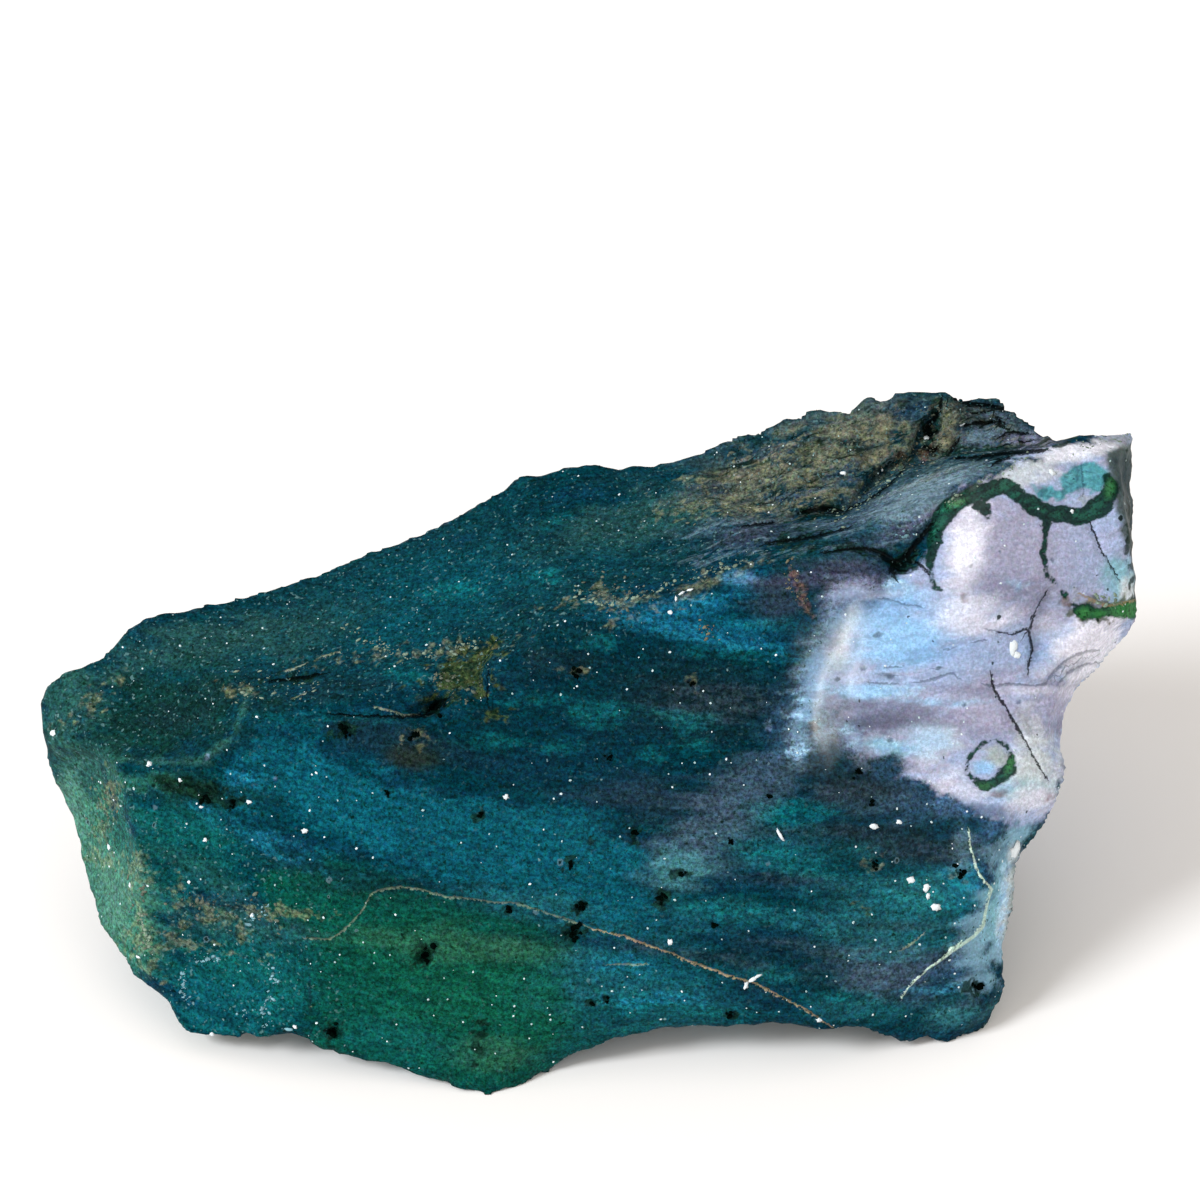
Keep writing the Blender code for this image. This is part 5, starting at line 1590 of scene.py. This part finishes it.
class JASPER_OT_fine_stone(bpy.types.Operator):
    """Works the fine surface of the stone from the frame's solid, and gives it its markings"""

    bl_idname = "jasper.fine_stone"
    bl_label = "Fine stone"

    def execute(self, context):
        looks = current_looks()
        stone = linked("stone", merged_copy(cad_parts[NODE]))
        cells = stone.modifiers.new("Fine cells", "REMESH")
        cells.mode = "VOXEL"
        cells.voxel_size = looks.cell
        # The first pass wears the facets' edges down, and the second gives the stone its full size back.
        for name, factor in (("Wear", 0.5), ("Swell", -0.53)):
            worn = stone.modifiers.new(name, "SMOOTH")
            worn.factor, worn.iterations = factor, WEAR
        data = baked(stone)
        surface = Surface(data)
        work_surface(surface)
        mark_surface(surface, looks)
        for tree in (streaks_group, patch_group, hair_line_group, specks_group, grain_group):
            tree()
        data.materials.clear()
        data.materials.append(jasper_material(looks))
        data.shade_smooth()
        declare(stone, stone=True)
        return {"FINISHED"}


class JASPER_OT_quartz_specks(bpy.types.Operator):
    """Strews quartz specks over the stone"""

    bl_idname = "jasper.quartz_specks"
    bl_label = "Quartz specks"

    def execute(self, context):
        looks = current_looks()
        stone = bpy.data.objects["stone"]
        above = np.empty(len(stone.data.vertices) * 3, dtype=np.float32)
        stone.data.vertices.foreach_get("co", above)
        density = np.where(above[2::3] > SPECK_FLOOR * MM, 1.0, 0.0)
        white = grain_material("Quartz", looks.quartz, looks.quartz_pale, roughness=0.3)
        inputs = {"Per square metre": looks.speck_count, "Smallest": looks.speck_size * 0.35,
                  "Largest": looks.speck_size, "Flatness": 0.45, "Seed": 4, "Material": white}
        declare(strewn_piece("quartz_specks", stone, density, inputs))
        return {"FINISHED"}


class JASPER_OT_quartz_chips(bpy.types.Operator):
    """Sets the few larger chips of quartz into the broad side"""

    bl_idname = "jasper.quartz_chips"
    bl_label = "Quartz chips"

    def execute(self, context):
        looks = current_looks()
        darker = 0.85 * np.array(looks.quartz_pale)
        white = grain_material("Quartz chip", darker, looks.quartz_pale, roughness=0.35)
        declare(chips_piece("quartz_chips", QUARTZ, QUARTZ_CHIP, rounds=2, material=white))
        return {"FINISHED"}


class JASPER_OT_dark_chips(bpy.types.Operator):
    """Sets near black chips into the open pits"""

    bl_idname = "jasper.dark_chips"
    bl_label = "Dark chips"

    def execute(self, context):
        looks = current_looks()
        chance = np.random.default_rng(3)
        chips = []
        for x, y, radius, _ in PITS:
            for _ in range(PIT_CHIPS):
                aside, below = chance.normal(0, 0.55 * radius, 2)
                size = radius * chance.uniform(0.25, 0.65)
                length = size * chance.uniform(0.7, 1.4)
                chips.append((x + aside, y + below, length, size, chance.uniform(-90, 90)))
        darker_moss_and_shade = 0.5 * np.array(looks.moss)
        # The chips take their near black from the crack shade.
        black = grain_material("Dark chip", looks.crack, darker_moss_and_shade, roughness=0.9, gloss=0.01)
        declare(chips_piece("dark_chips", chips, DARK_CHIP, rounds=1, material=black))
        return {"FINISHED"}


class JASPER_OT_crumbs(bpy.types.Operator):
    """Leaves trails of pale and rusty crumbs in the creases"""

    bl_idname = "jasper.crumbs"
    bl_label = "Crumbs"

    def execute(self, context):
        looks = current_looks()
        for kind in ("tan_pale", "cream_line", "rust_line", "quartz"):
            chance = np.random.default_rng(len(kind))
            trails = [trail[1:] for trail in TRAILS if trail[0] == kind]
            chips = [chip for trail in trails for chip in strewn_chips(*trail, chance)]
            colour = np.array(getattr(looks, kind)) * COOL
            title = "Crumbs, " + kind.replace("_", " ")
            material = grain_material(title, 0.5 * colour, colour, roughness=0.8)
            declare(chips_piece("crumbs_" + kind, chips, CRUMB, rounds=1, material=material))
        return {"FINISHED"}


class JASPER_OT_crust_grains(bpy.types.Operator):
    """Strews loose grains over the weathered crust"""

    bl_idname = "jasper.crust_grains"
    bl_label = "Crust grains"

    def execute(self, context):
        looks = current_looks()
        stone = bpy.data.objects["stone"]
        density = eased(field_values(stone.data, "crust") / 2.0 + 0.4)
        grains = grain_material("Crust grains", looks.crust_dark, looks.tan, roughness=0.8)
        inputs = {"Per square metre": looks.grain_count, "Smallest": looks.grain_size * 0.3,
                  "Largest": looks.grain_size, "Flatness": 0.7, "Seed": 8, "Material": grains}
        declare(strewn_piece("crust_grains", stone, density, inputs))
        return {"FINISHED"}


def look_along(direction):
    """The turn that points a light or a camera along a direction."""
    return Vector(direction).to_track_quat("-Z", "Y").to_euler()


def soft_light(name, direction, distance, width, height, power, in_gloss=False):
    """A soft box that shines on the stone from a direction, or is only seen in its gloss.

    Its sizes are in metres and its power in watts.
    """
    data = bpy.data.lights.new(name, "AREA")
    data.shape = "RECTANGLE"
    data.size, data.size_y, data.energy = width, height, power
    box = linked(name, data)
    way = Vector(direction).normalized()
    box.location = Vector(SHEET_MIDDLE * MM) + way * distance
    box.rotation_euler = look_along(-way)
    box.visible_glossy = in_gloss
    box.visible_diffuse = not in_gloss
    return box


def studio_air():
    """Even white light from all round, seen dimmer in the stone's gloss."""
    world = bpy.data.worlds.new("Studio")
    world.use_nodes = True
    tree = world.node_tree
    tree.nodes.clear()
    maker = Maker(tree)
    gloss = maker.add("ShaderNodeLightPath").outputs["Is Glossy Ray"]
    strength = maker.ramp(gloss, 0.0, 1.0, AIR_STRENGTH, AIR_IN_GLOSS)
    air = maker.add("ShaderNodeBackground", {"Color": AIR_COLOUR, "Strength": strength})
    maker.add("ShaderNodeOutputWorld", {"Surface": air.outputs[0]})
    return world


class JASPER_OT_stage(bpy.types.Operator):
    """Sets the pale table, the soft boxes and the camera"""

    bl_idname = "jasper.stage"
    bl_label = "Stage"

    def execute(self, context):
        scene = context.scene
        mesh = bmesh.new()
        bmesh.ops.create_grid(mesh, x_segments=1, y_segments=1, size=TABLE_REACH)
        data = bpy.data.meshes.new("table")
        mesh.to_mesh(data)
        mesh.free()
        table = linked("table", data)
        table.location.z = -TABLE_GAP
        data.materials.append(plain_material("Table", TABLE_COLOUR, roughness=0.9))

        scene.world = studio_air()
        key = soft_light("key", (-0.70, -0.30, 0.64), distance=2.0, width=0.6, height=0.6, power=29.5)
        key.data.color = KEY_COLOUR
        soft_light("window", (0.52, -0.68, 0.51), distance=1.0, width=0.15, height=0.90, power=5.6,
                   in_gloss=True)

        lens = bpy.data.cameras.new("camera")
        lens.lens, lens.sensor_width, lens.clip_start = LENS, SENSOR, 0.01
        camera = linked("camera", lens)
        camera.location = Vector((SHEET_MIDDLE + EYE_DISTANCE * TO_EYE) * MM)
        camera.rotation_euler = look_along(-TO_EYE)
        scene.camera = camera
        scene.view_settings.view_transform = "Standard"
        return {"FINISHED"}


PIECES = (JASPER_OT_fine_stone, JASPER_OT_quartz_specks, JASPER_OT_quartz_chips, JASPER_OT_dark_chips,
          JASPER_OT_crumbs, JASPER_OT_crust_grains, JASPER_OT_stage)


class JASPER_PT_panel(bpy.types.Panel):
    """Lists the stone's pieces and settings"""

    bl_label = "Rough jasper"
    bl_idname = "JASPER_PT_panel"
    bl_space_type = "VIEW_3D"
    bl_region_type = "UI"
    bl_category = "Jasper"

    def draw(self, context):
        for piece in PIECES:
            self.layout.operator(piece.bl_idname)
        for name in JasperLooks.__annotations__:
            self.layout.prop(current_looks(), name)


CLASSES = (JasperLooks, *PIECES, JASPER_PT_panel)


def register():
    for made in CLASSES:
        bpy.utils.register_class(made)
    bpy.types.Scene.jasper_looks = bpy.props.PointerProperty(type=JasperLooks)


def unregister():
    del bpy.types.Scene.jasper_looks
    for made in reversed(CLASSES):
        bpy.utils.unregister_class(made)


def main():
    register()
    bpy.ops.jasper.fine_stone()
    bpy.ops.jasper.quartz_specks()
    bpy.ops.jasper.quartz_chips()
    bpy.ops.jasper.dark_chips()
    bpy.ops.jasper.crumbs()
    bpy.ops.jasper.crust_grains()
    bpy.ops.jasper.stage()


if __name__ == "__main__":
    main()
